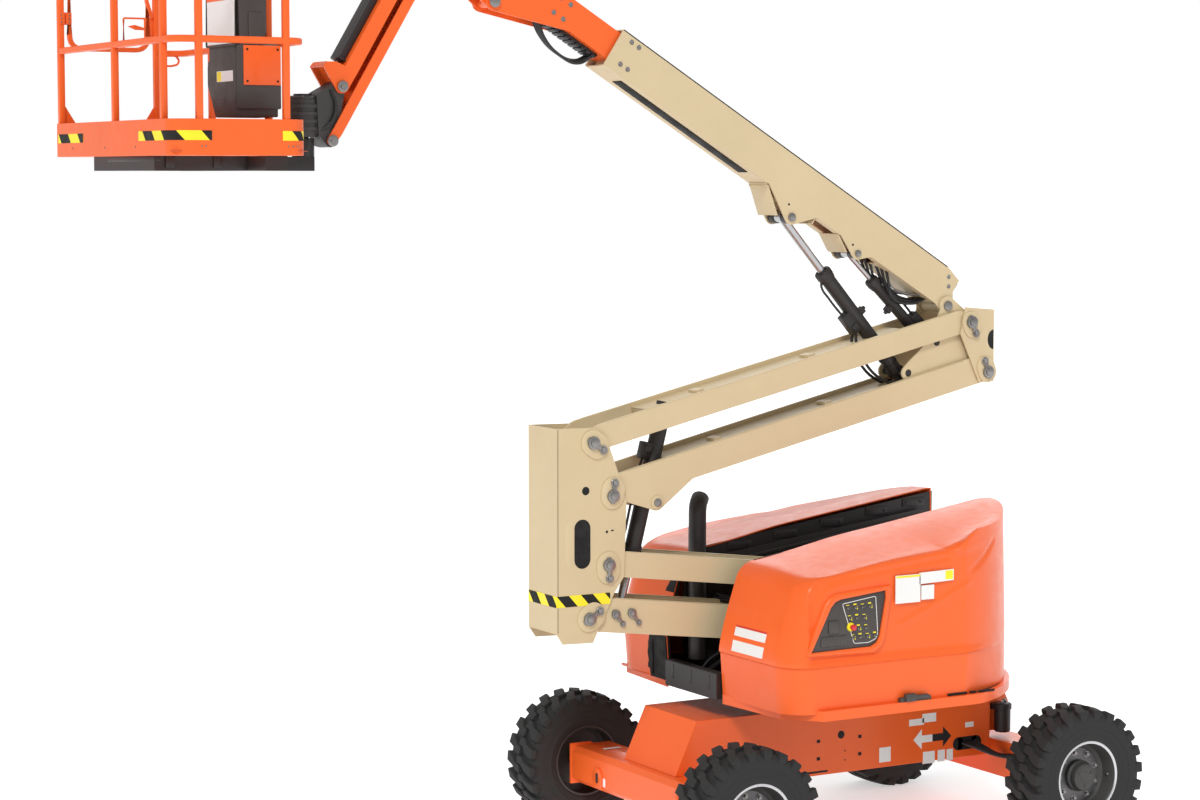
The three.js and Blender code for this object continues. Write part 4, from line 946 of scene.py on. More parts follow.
    def build(self) -> None:
        """Makes the hood and its trim."""
        self.shell()
        pieces = [("hem", self.edges, Paint.ORANGE), ("latch", self.latch, Paint.PLASTIC),
            ("slot_shades", self.slot_shades, Paint.DARK), ("inner_panel", self.inner_panel, Paint.BLACK)]
        for name, make, paint in pieces:
            self.turned(make()).finish(f"{self.node}_{name}", paint, self.body, replaces=[self.node])
        # On the far hood, the front cut-away is a dark recess of painted shade.
        if self.side > 0:
            self.front_cutaway_shade().finish(f"{self.node}_front_opening_shade_and_post", Paint.DARK, self.body, replaces=[self.node])
        else:
            self.window_frame().finish(f"{self.node}_window_frame", Paint.ORANGE, self.body, 50.0,
                replaces=[self.node])
        self.plates()

    def plates(self) -> None:
        """The blank rating and safety plates, and the hazard mark at the rear."""
        plates, y = Form(), -1.0322
        for x0, x1, z0, z1 in ((1.227, 1.399, 1.556, 1.716), (1.407, 1.496, 1.566, 1.648)):
            plates.box((x0, y - 0.0012, z0), (x1, y + 0.006, z1), 0.0004, 1)
        corners = (1.392, 1.657), (1.634, 1.664), (1.634, 1.728), (1.392, 1.722)
        plates.prism([(x, y - 0.0012, z) for x, z in corners], (0, 0.006, 0))
        self.turned(plates).finish(f"{self.node}_side_plates", Paint.WHITE, self.body)
        for name, paint, bands in (("plates", Paint.WHITE, ((1.262, 1.324), (1.35, 1.398))),
                ("band", Paint.RED, ((1.4, 1.409),))):
            front = Form()
            for z0, z1 in bands:
                corners = (-0.0012, z0), (-0.0012, z1), (0.004, z1), (0.004, z0)
                front.prism([(self.nose(z) + back, -0.752, z) for back, z in corners], (0, 0.32, 0))
            self.turned(front).finish(f"{self.node}_front_{name}", paint, self.body)
        marks = Form().box((1.229, y - 0.0024, 1.702), (1.397, y, 1.713), 0.0003, 1)
        marks.box((1.575, y - 0.0024, 1.672), (1.628, y, 1.722), 0.0003, 1)
        self.turned(marks).finish(f"{self.node}_plate_bands", Paint.YELLOW, self.body)

    def nose(self, z: float) -> float:
        """Place of the leaning front face at a height above the crease."""
        return self.front + 0.36 * max(0.0, z - self.crease - 0.02) ** 1.25


@dataclass(frozen=True)
class ControlPanel:
    """The ground control panel behind the near hood's window."""

    face_y: float = -1.0205
    button: Sequence[float] = (0.925, 1.448)

    def build(self) -> None:
        """Makes the plate, its outlined field, the stop button and the switches."""
        (x, z), y = self.button, self.face_y
        hood = Hood(-1, "near_hood", "near_hood")
        back = Form().plate(hood.grown(hood.opening, 0.01), y, y + 0.014, 0.002)
        back.box((0.875, -1.003, 0.9855), (0.965, -0.95, 1.5), 0.003)
        back.box((0.772, y - 0.01, 1.42), (0.843, y, 1.492), 0.006)
        back.box((0.722, y - 0.006, 1.348), (0.898, y, 1.404), 0.004)
        corners = (0.868, 1.582), (1.096, 1.61), (1.112, 1.395), (1.1, 1.368), (1.05, 1.35), (0.95, 1.352)
        outline = Form().rail([(u, y - 0.0005, v) for u, v in corners], 0.0035, 0.012, closed=True)
        collar = Form().rod((x, y, z), (x, y - 0.012, z), 0.026, 0.022, 32, 0.002)
        knob = Form().rod((x, y - 0.01, z), (x, y - 0.03, z), 0.011, sides=24)
        knob.rod((x, y - 0.026, z), (x, y - 0.04, z), 0.019, 0.016, 32, 0.004)
        switches, marks = Form(), Form()
        for row, (v, count) in enumerate(((1.555, 4), (1.495, 3), (1.435, 3), (1.385, 4))):
            for i in range(count):
                u = 0.905 + 0.05 * i + 0.012 * row
                if hypot(u - x, v - z) < 0.04:
                    continue
                switches.rod((u, y, v), (u, y - 0.006, v), 0.007, sides=16, bevel=0.001)
                switches.rod((u, y - 0.004, v), (u + 0.002, y - 0.02, v + 0.006), 0.0028, 0.0036, 12)
                marks.box((u - 0.011, y - 0.0012, v + 0.015), (u + 0.009, y + 0.001, v + 0.019 + 0.004 * (i % 2)))
                if (i + row) % 2:
                    marks.box((u + 0.013, y - 0.0012, v - 0.012), (u + 0.018, y + 0.001, v + 0.008))
        for form, name, paint in ((back, "panel_body", Paint.PLASTIC), (outline, "panel_outline", Paint.WHITE),
                (collar, "stop_collar", Paint.YELLOW), (knob, "stop_button", Paint.RED),
                (switches, "panel_switches", Paint.BOLT), (marks, "panel_marks", Paint.YELLOW)):
            form.finish(name, paint, "turret", replaces=["control_panel"])


# --- fixings that repeat
@dataclass
class Fixings:
    """Pins with their keeper bars and bolts, gathered so that each body gets one piece of each finish."""

    body: str
    tabs: Form = field(default_factory=Form)
    steel: Form = field(default_factory=Form)

    def pin(self, place: Vector, face: float, bolt: Point, radius: float = 0.038, pad: float = 0.075) -> None:
        """A pin's head, its keeper bar and the bar's bolt, on both sides of the machine.

        Args:
            place: the pin's axis in the boom plane.
            face: half width of the plates at the pin.
            bolt: the keeper bolt's place from the pin, in X and Z.
            radius: the head's radius.
            pad: radius of the raised pad round the pin, or 0 for none.
        """
        away = Vector((bolt[0], 0.0, bolt[1]))
        for side in (-1, 1):
            out = Vector((0.0, side, 0.0))
            base = place + out * face
            if pad:
                self.oblong(self.tabs, place, place + away * 0.45, pad, face, 0.009, side)
            level = 0.009 if pad else 0.0
            self.steel.rod(base, base + out * (0.0165 + level), radius, sides=32, bevel=0.002)
            self.steel.rod(base, base + out * (0.0245 + level), radius * 0.62, sides=24, bevel=0.003)
            self.bar(base + out * (0.004 + level), away, out, radius)
            bolt_base = base + away + out * level
            self.steel.bolt(bolt_base + out * 0.008, out, radius * 0.42, 0.012)

    def oblong(self, form: Form, start: Vector, end: Vector, radius: float, face: float,
               depth: float, side: int) -> None:
        """A raised pad with round ends."""
        turn = degrees(atan2(end.z - start.z, end.x - start.x))
        outline = [(centre.x + u, centre.z + v) for centre, first in ((end, turn - 90), (start, turn + 90))
            for u, v in arc(radius, first, first + 180, 16)]
        low, high = sorted((side * (face - 0.001), side * (face + depth)))
        form.plate(outline, low, high, 0.0018)

    def bar(self, base: Vector, away: Vector, out: Vector, radius: float) -> None:
        """The flat keeper bar between the pin's slot and its bolt."""
        along = away.normalized()
        width = along.cross(out) * radius * 0.34
        start, end = base - along * radius * 1.15, base + away
        corners = [start - width, end - width, end + width, start + width]
        self.steel.prism(corners, out * 0.008, 0.0015)

    def build(self, paint: Paint = Paint.TAN) -> None:
        """Makes the gathered pieces."""
        if self.tabs.bm.verts:
            self.tabs.finish(f"{self.body}_keeper_pads", paint, self.body)
        if self.steel.bm.verts:
            self.steel.finish(f"{self.body}_pins", Paint.BOLT, self.body)


@dataclass(frozen=True)
class Tower:
    """The folding tower: the upright, the two pairs of arms and the knuckle."""

    plate_face: float = 0.165
    arm_face: float = 0.152
    band_top: float = 1.612
    band_bottom: float = 1.548

    def upright(self) -> None:
        """The upright's pins, its stripes and its small openings, the openings drawn as flat dark patches of painted
        shade.
        """
        face, fixings = self.plate_face, Fixings("upright")
        for place, bolt in ((UPPER_LINK_PIN, (0.063, -0.042)), (UPPER_PIN, (0.01, 0.074)),
                            (LOWER_LINK_PIN, (0.004, -0.078)), (LOWER_PIN, (0.066, 0.042))):
            fixings.pin(place, face, bolt)
        fixings.build()
        low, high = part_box("upright")
        front, back = low.x, LOWER_PIN.x + 0.14
        yellow, dark, band = Form(), Form(), (self.band_bottom, self.band_top)
        around = [(back, face), (front, face), (front, -face), (back, -face)]
        for start, end in zip(around, around[1:]):
            yellow.band([start, end], *band, 0.0016, 0.006)
            dark.slants([start, end], *band, 0.0022, 0.095 if start[0] == end[0] else 0.078)
        yellow.finish("upright_stripe_ground", Paint.YELLOW, "upright")
        dark.finish("upright_stripes", Paint.DARK, "upright")
        marks, dark_trim, fill = Form(), Form(), Fixings("upright")
        slot = [(-0.322 + u, 1.9 + way * 0.088 + v) for way in (1, -1)
            for u, v in arc(0.052, 90 - way * 90, 270 - way * 90, 12)]
        ends = [Vector((front + 0.1, 0, z)) for z in (1.815, 1.99)]
        # The holes and the slot are flat dark patches of painted shade.
        for side, y0, y1 in both_faces(face, 0.01 * face, 0.0008):
            for x, z, radius in ((-0.3, 2.201, 0.024), (-0.162, 1.96, 0.008)):
                marks.rod((x, y0, z), (x, y1, z), radius, sides=32 if radius > 0.01 else 16)
            marks.box((-0.135, y0, 1.962), (-0.118, y1, 1.97))
            marks.plate(slot, *sorted((side * face, side * (face + 0.001))))
            y0, y1 = sorted((side * (face - 0.002), side * (face + 0.0006)))
            dark_trim.box((front + 0.0075, y0, low.z + 0.07), (front + 0.0105, y1, high.z - 0.006))
            fill.oblong(fill.tabs, *ends, 0.0428, face - 0.004, 0.0044, side)
        marks.finish("upright_hole_shades", Paint.DARK, "upright")
        dark_trim.finish("upright_seam", Paint.DARK, "upright")
        fill.tabs.finish("upright_slot_fill", Paint.TAN, "upright")

    def knuckle(self) -> None:
        """The knuckle's pins, with its tail plate's round bite, drawn as a dark patch of painted shade, and rest pads.
        """
        fixings, face = Fixings("knuckle"), self.plate_face
        fixings.pin(KNUCKLE_LINK_PIN, face, (0.03, -0.068), pad=0.066)
        fixings.pin(KNUCKLE_PIN, face, (-0.026, 0.068), pad=0.066)
        across = Vector((0, 0.137, 0))
        fixings.steel.rod(BOOM_PIN - across, BOOM_PIN + across, 0.03, sides=32, bevel=0.003)
        fixings.build()
        edge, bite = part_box("knuckle")[1].x - 0.004, Form()
        # The round bite is a flat dark patch of painted shade on each face.
        outline = [(edge + 0.044 * u, 2.975 + 0.06 * v) for u, v in arc(1.0, 90, 270, 16)]
        for _, y0, y1 in both_faces(face, 0.015 * face, 0.001):
            bite.plate(outline, y0, y1)
        bite.finish("knuckle_bite_shades", Paint.DARK, "knuckle")

    def lower_pair(self) -> None:
        """Pins and edges of the lower arm and its link."""
        arm, z = Fixings("lower_arm"), LOWER.at(0, 0, 0).z + 0.01
        for along in (0.184, 0.291):
            arm.pin(Vector((LOWER.at(along).x, 0, z)), self.arm_face, (0.046, -0.058), 0.027, 0.0)
        arm.pin(TURRET_PIN, 0.178, (-0.05, 0.06), 0.036, 0.0)
        arm.build()
        self.lit_edges("lower_arm", LOWER, 0.125, 2.56)
        self.lit_edges("lower_link", Bench(LOWER_LINK_PIN, LOWER.along), 0.08, 2.56)

    def upper_pair(self) -> None:
        """Pins and edges of the upper arm and its link."""
        arm, place = Fixings("upper_arm"), UPPER.at(0.283, 0, -0.123)
        out = Vector((0, 1, 0))
        arm.steel.rod(place - out * 0.172, place + out * 0.172, 0.024, sides=32, bevel=0.003)
        for side in (-1, 1):
            arm.tabs.rod(place + out * side * 0.15, place + out * side * 0.162, 0.04, sides=40, bevel=0.002)
        arm.build()
        for body, bench, above in (("upper_arm", UPPER, 0.11), ("upper_link", Bench(UPPER_LINK_PIN, UPPER.along),
                0.087)):
            self.lit_edges(body, bench, above, 2.58)
            self.shelf(body, bench, above)

    def lit_edges(self, body: str, bench: Bench, above: float, length: float) -> None:
        """The rolled upper edges of a pair of bars."""
        form = Form()
        for _, y0, y1 in both_faces(self.arm_face, 0.022, 0.0):
            form.box((0.12, y0, above - 0.006), (length, y1, above + 0.0015), 0.003)
        form.placed(bench.matrix).finish(f"{body}_edges", Paint.TAN, body)

    def shelf(self, body: str, bench: Bench, above: float) -> None:
        """The plate between the two bars, with its stops and hose clips."""
        form = Form()
        inner = self.arm_face - 0.023
        form.box((0.45, -inner, above - 0.03), (2.3, inner, above - 0.022), 0.002)
        for x in (0.45, 1.25, 1.95):
            form.box((x, -inner, above - 0.06), (x + 0.008, inner, above - 0.024), 0.001)
        for x in (0.8, 1.6):
            form.box((x, -0.05, above - 0.024), (x + 0.05, 0.05, above - 0.006), 0.003)
        form.placed(bench.matrix)
        form.finish(f"{body}_shelf", Paint.TAN, body)

    def hoses(self) -> None:
        """The bundles that run up inside the tower."""
        for body, origin, along, above, start, end in (("upper_link", UPPER_LINK_PIN, UPPER.along, 0.087, 0.3, 2.5),
                ("lower_link", LOWER_LINK_PIN, LOWER.along, 0.08, 0.25, 2.45)):
            form, bench = Form(), Bench(origin, along)
            for i, across in enumerate((-0.055, -0.028, 0.0, 0.028, 0.055)):
                form.hose([bench.at(u, across * share, above - drop) for u, share, drop in ((start, 0.6, 0.075),
                    (start + 0.25, 1.0, 0.045), ((start + end) / 2, 1.0, 0.06 + 0.004 * i), (end - 0.25, 1.0, 0.045),
                    (end, 0.6, 0.085))], 0.01 if i % 2 else 0.012, 8)
            form.finish(f"{body}_hoses", Paint.HOSE, body)

    def build(self) -> None:
        """Dresses the whole tower."""
        self.upright()
        self.knuckle()
        self.lower_pair()
        self.upper_pair()
        self.hoses()


# --- cylinders
@dataclass(frozen=True)
class Cylinder:
    """A hydraulic cylinder's gland, ports, pipe and hoses, in its own frame along the barrel."""

    name: str
    base: Vector
    rod_eye: Vector
    radius: float
    length: float
    rod: float
    block: tuple[float, float] = (0.2, 0.32)
    port: float = 0.45
    pipe_side: float = 1.0
    base_hoses: bool = True

    @property
    def bench(self) -> Bench:
        """Along the barrel from its eye."""
        return Bench(self.base, self.rod_eye - self.base)

    def build(self) -> None:
        """Makes the barrel's fittings and the rod's wiper."""
        r, end, side, body = self.radius, self.length, self.pipe_side, f"{self.name}_cylinder_barrel"
        low, high = self.block
        gland, pipes, turn = Form(), Form(), ((0, 0, 0), (1, 0, 0), 48)
        collar = (0.006, 0.002), (0.009, 0.008), (0.009, 0.04), (0.004, 0.045), (0.004, 0.066)
        gland.ring([(self.rod + 0.0015, end + 0.001), (self.rod + 0.006, end + 0.004), (r * 0.75, end + 0.004),
            *((r + u, end - v) for u, v in collar), (self.rod + 0.002, end - 0.066)], *turn)
        for i in range(6):
            a = pi * i / 3
            gland.bolt((end + 0.003, r * 0.72 * cos(a), r * 0.72 * sin(a)), (1, 0, 0), 0.006, 0.005, False)
        for x in (0.07, 0.115):
            gland.ring([(r - 0.002, x), (r + 0.004, x), (r + 0.004, x + 0.012), (r - 0.002, x + 0.012)], *turn)
        z0, z1 = sorted((side * r * 0.6, side * (r + 0.045)))
        gland.box((low, -0.032, z0), (high, 0.032, z1), 0.004)
        gland.box((low + 0.02, -0.04, z0 + 0.01), (low + 0.06, 0.04, z1 - 0.008), 0.003)
        z0, z1 = sorted((-side * r * 0.6, -side * (r + 0.028)))
        gland.box((self.port, -0.02, z0), (self.port + 0.04, 0.02, z1), 0.003)
        middle = self.port + 0.02
        gland.rod((middle, 0, -side * r), (middle, 0, -side * (r + 0.042)), 0.012, sides=6)
        gland.placed(self.bench.matrix).finish(f"{body}_fittings", Paint.BLACK, body)
        lift = side * (r + 0.02)
        over = lift + side * 0.006
        pipes.hose([(high - 0.02, 0, lift), (high + 0.08, 0, over), (end - 0.16, 0, over), (end - 0.07, 0, lift),
            (end - 0.045, 0, side * r)], 0.0075, 8)
        for y in (-0.016, 0.018) if self.base_hoses else ():
            pipes.hose([(low + 0.01, y, lift), (low - 0.05, y * 1.4, lift + side * 0.05),
                (0.02, y * 2.2, lift + side * 0.045), (-0.03, y * 2.4, lift - side * 0.02)], 0.009, 8)
        pipes.placed(self.bench.matrix).finish(f"{body}_pipes", Paint.HOSE, body)


def cylinders() -> list[Cylinder]:
    """The machine's four cylinders, where they stand at rest."""
    trunnion = UPPER.at(0.283, 0, -0.123)
    tower_eye = Vector((0.014, 0, 1.4825))
    tower_base = trunnion - (tower_eye - trunnion).normalized() * 0.58
    lift, level, jib = (pin(f"{name}_cylinder_swing") for name in ("lift", "level", "jib"))
    return [
        Cylinder("tower", tower_base, tower_eye, 0.048, 0.91, 0.026, (0.25, 0.35), 0.42, base_hoses=False),
        Cylinder("lift", lift, BOOM.at(1.253, 0, -0.115), 0.044, 0.83, 0.025, (0.39, 0.53), 0.44, -1.0),
        Cylinder("level", level, BOOM.at(0.733, 0, -0.059), 0.034, 0.56, 0.016, (0.1, 0.19), 0.32),
        Cylinder("jib", jib, JIB.at(0.8, 0, -0.02), 0.027, 0.56, 0.014, (0.12, 0.2), 0.34)]



# --- booms
@dataclass(frozen=True)
class Booms:
    """Trim of the main boom and the fly boom, in the boom's own frame."""

    face: float = 0.108
    top: float = 0.21
    bottom: float = -0.027
    length: float = 2.78
    lift_eye: Point = (1.253, -0.115)
    level_eye: Point = (0.733, -0.059)
    fly_face: float = 0.085

    def main_boom(self) -> None:
        """Dark strips of painted shade along the top edges and under the bottom, two small dark dots, the end cap, the
        gussets' pins and the wear pads' bolts.
        """
        m, face, body = BOOM.matrix, self.face, "main_boom"
        dark_trim, pins, ribs, half = Form(), Form(), Form(), 0.097
        # The dark strips are painted shade: the shaded top edges and the slot under the bottom.
        for side, y0, y1 in both_faces(face, 0.003, 0.0008):
            dark_trim.box((0.115, y0, self.top - 0.0055), (self.length - 0.002, y1, self.top + 0.0012), 0.0003, 1)
            for u, v in ((1.308, -0.06), (0.79, -0.032)):
                dark_trim.rod((u, side * (face - 0.002), v), (u, side * (face + 0.0008), v), 0.007, sides=16)
            for (u, v), r in ((self.lift_eye, 0.02), (self.level_eye, 0.017)):
                pins.rod((u, side * (face + 0.009), v), (u, side * (face + 0.015), v), r, sides=6, bevel=0.002)
                pins.rod((u, side * face, v), (u, side * (face + 0.01), v), r * 1.25, sides=28, bevel=0.001)
            for u, v in ((2.7, 0.175), (2.645, 0.175), (2.7, 0.03), (2.645, 0.03)):
                pins.bolt((u, side * face, v), (0, side, 0), 0.009, 0.007)
        dark_trim.box((1.62, -0.05, self.bottom - 0.004), (2.62, 0.05, self.bottom + 0.004), 0.003)
        dark_trim.placed(m).finish("main_boom_shade_lines", Paint.DARK, body)
        cap = Form().plate([(-0.008, 0.085), (-0.016, 0.16), (0.085, 0.207), (0.085, 0.085)], -0.098, 0.098, 0.003)
        cap.box((-0.026, -0.07, 0.06), (-0.004, 0.07, 0.15), 0.006)
        cap.placed(m).finish("main_boom_cap", Paint.BLACK, body)
        for u, v in ((0.045, 0.11), (0.075, 0.16)):
            pins.bolt((u, face, v), (0, 1, 0), 0.008, 0.006)
        pins.placed(m).finish("main_boom_pins", Paint.BOLT, body)
        for u, v in ((1.1, -0.07), (1.49, -0.045)):
            ribs.box((u - 0.004, -half, v), (u + 0.004, half, self.bottom + 0.002), 0.001)
        for outline in (((1.5, -0.03), (1.345, -0.158), (1.337, -0.15), (1.492, -0.026)),
                ((0.915, -0.03), (0.8, -0.092), (0.796, -0.085), (0.905, -0.026))):
            ribs.plate(outline, -half, half, 0.001)
        ribs.placed(m).finish("main_boom_gusset_backs", Paint.TAN, body)

    def rollers(self) -> None:
        """The black sleeves on the rod eyes between the gussets."""
        for (u, v), body, r in ((self.lift_eye, "lift_cylinder_rod", 0.0385),
                (self.level_eye, "level_cylinder_rod", 0.031)):
            form = Form()
            for side in (-1, 1):
                form.rod((u, side * 0.036, v), (u, side * 0.096, v), r, sides=40, bevel=0.003)
            form.placed(BOOM.matrix).finish(f"{body}_sleeves", Paint.BLACK, body)

    def base_hoses(self) -> None:
        """Hoses and pipes that hang under the boom beside its pivot."""
        hoses, pipes, low = Form(), Form(), self.bottom
        for i, y in enumerate((-0.06, -0.036, -0.012, 0.016, 0.042, 0.066)):
            sag = 0.06 + 0.016 * (i % 3)
            hoses.hose([(0.62 - 0.03 * i, y * 0.8, low + 0.012), (0.5 - 0.02 * i, y, low - sag * 0.8),
                (0.36, y * 1.1, low - sag * 1.25), (0.2, y, low - sag * 0.8), (0.12, y * 0.8, low + 0.01)], 0.0085, 8)
        hoses.placed(BOOM.matrix).finish("main_boom_hoses", Paint.HOSE, "main_boom")
        for i, y in enumerate((-0.05, 0.0, 0.05)):
            pipes.hose([(0.56 - 0.05 * i, y, low + 0.008), (0.46 - 0.04 * i, y, low - 0.055),
                (0.3, y * 1.2, low - 0.05), (0.16, y, low + 0.006)], 0.006, 8)
        pipes.placed(BOOM.matrix).finish("main_boom_pipes", Paint.BOLT, "main_boom")

    def fly_boom(self) -> None:
        """The fly boom's nose plates, pin and wear strip, with the hose loop under the joint."""
        m, body = BOOM.matrix, "fly_boom"
        steel, loop = Form(), Form()
        for side in (-1, 1):
            y = side * (self.fly_face + 0.0105)
            steel.rod((3.547, y, -0.096), (3.547, y + side * 0.006, -0.096), 0.034, sides=32, bevel=0.002)
            for u, v in ((3.13, 0.15), (3.13, 0.055), (3.2, 0.15), (3.2, 0.055)):
                steel.bolt((u, side * self.fly_face, v), (0, side, 0), 0.009, 0.007)
        steel.placed(m).finish("fly_boom_pins", Paint.BOLT, body)
        track = Form().box((2.82, -0.045, 0.0035), (3.3, 0.045, 0.0185), 0.003)
        for i in range(12):
            track.box((2.83 + 0.039 * i, -0.05, -0.01), (2.86 + 0.039 * i, 0.05, 0.006), 0.003)
        track.placed(m).finish("fly_boom_track", Paint.HOSE, body)
        for i, y in enumerate((-0.04, -0.015, 0.012, 0.038)):
            drop = 0.085 + 0.01 * i
            loop.hose([(2.84, y, 0.008), (2.9, y, -drop * 0.75), (3.02, y * 1.2, -drop), (3.16, y, -drop * 0.7),
                (3.26, y, 0.006)], 0.0085, 8)
        loop.placed(m).finish("fly_boom_hoses", Paint.HOSE, body)

    def build(self) -> None:
        """Dresses both booms."""
        self.main_boom()
        self.rollers()
        self.base_hoses()
        self.fly_boom()


@dataclass(frozen=True)
class Jib:
    """Trim of the jib: pins, the end bracket's bolts, the hose guard's straps and the free hose loops."""

    face: float = 0.09

    def pins(self) -> None:
        """Pin heads of the jib's four joints."""
        for body, places in (("jib_base", (JIB_PIN, JIB_LINK_PIN)), ("jib_head", (HEAD_PIN, HEAD_LINK_PIN))):
            form = Form()
            for place in places:
                for side in (-1, 1):
                    out = Vector((0, side, 0))
                    base = Vector((place.x, 0, place.z)) + out * (self.face + 0.0095)
                    form.rod(base, base + out * 0.006, 0.031, sides=32, bevel=0.002)
                    form.bolt(base + out * 0.005, out, 0.014, 0.009)
            form.finish(f"{body}_pins", Paint.BOLT, body)

    def guard(self) -> None:
        """Straps round the hose guard, and the hoses that leave both of its ends."""
        ends, loops, free = Form(), Form(), Form()
        for u in (0.125, 1.098):
            ends.box((u, -0.0455, 0.036), (u + 0.012, 0.0575, 0.086), 0.003)
        ends.placed(JIB.matrix).finish("hose_guard_ends", Paint.BLACK, "jib_arm")
        for i, y in enumerate((-0.028, -0.006, 0.018)):
            lift = 0.052 + 0.005 * i
            loops.hose([(1.1, y, lift), (1.14, y, lift + 0.002), (1.18, y * 1.3, lift - 0.02),
                (1.2, y * 1.6, lift - 0.06)], 0.0085, 8)
        for y in (-0.03, 0.006):
            loops.hose([(0.16, y, -0.05), (0.45, y * 1.2, -0.06), (0.75, y, -0.056), (1.02, y * 0.8, -0.062)], 0.011, 8)
        loops.placed(JIB.matrix).finish("jib_arm_hoses", Paint.HOSE, "jib_arm")
        for i, y in enumerate((-0.03, -0.004, 0.022)):
            start = JIB_PIN + Vector((0.06, y, -0.02 * i))
            free.hose([start + Vector(step) for step in ((0, 0, 0), (0.075, y, -0.165 - 0.02 * i), (0.155, y, -0.29),
                (0.215, 0, -0.415), (0.225, 0, -0.55))], 0.008, 8)
        free.finish("jib_base_hoses", Paint.HOSE, "jib_base")

    def head(self) -> None:
        """The rotator's body: a finned housing with its own bolts and hoses."""
        x, z, centre, up = ROTATOR.x, HEAD_PIN.z, (ROTATOR.x, 0, 0), (0, 0, 1)
        form, bolts, hoses = Form(), Form(), Form()
        for i in range(4):
            low, high = z - 0.235 + 0.04 * i, z - 0.217 + 0.04 * i
            form.ring([(0.06, low), (0.086, low), (0.086, high), (0.06, high)], centre, up, 48)
        profile = (0.036, 0.069), (0.074, 0.069), (0.074, 0.058), (0.062, 0.05), (0.036, 0.05)
        form.ring([(r, z - drop) for r, drop in profile], centre, up, 48)
        form.box((x + 0.06, -0.055, z - 0.19), (x + 0.14, 0.055, z - 0.11), 0.01)
        form.finish("rotator_housing", Paint.CAST, "jib_head")
        for i in range(8):
            a = pi * (i + 0.5) / 4
            bolts.bolt((x + 0.066 * cos(a), 0.066 * sin(a), z - 0.058), up, 0.007, 0.007, False)
        bolts.finish("rotator_bolts", Paint.BOLT, "jib_head")
        for i, y in enumerate((-0.074, -0.06)):
            hoses.hose([(x + 0.13, y, z - 0.02), (x + 0.155, y - 0.008, z - 0.1), (x + 0.13, y - 0.01, z - 0.19),
                (x + 0.075, y + 0.01, z - 0.235 + 0.02 * i)], 0.008, 8)
        hoses.finish("rotator_hoses", Paint.HOSE, "jib_head")

    def build(self) -> None:
        """Dresses the jib."""
        self.pins()
        self.guard()
        self.head()


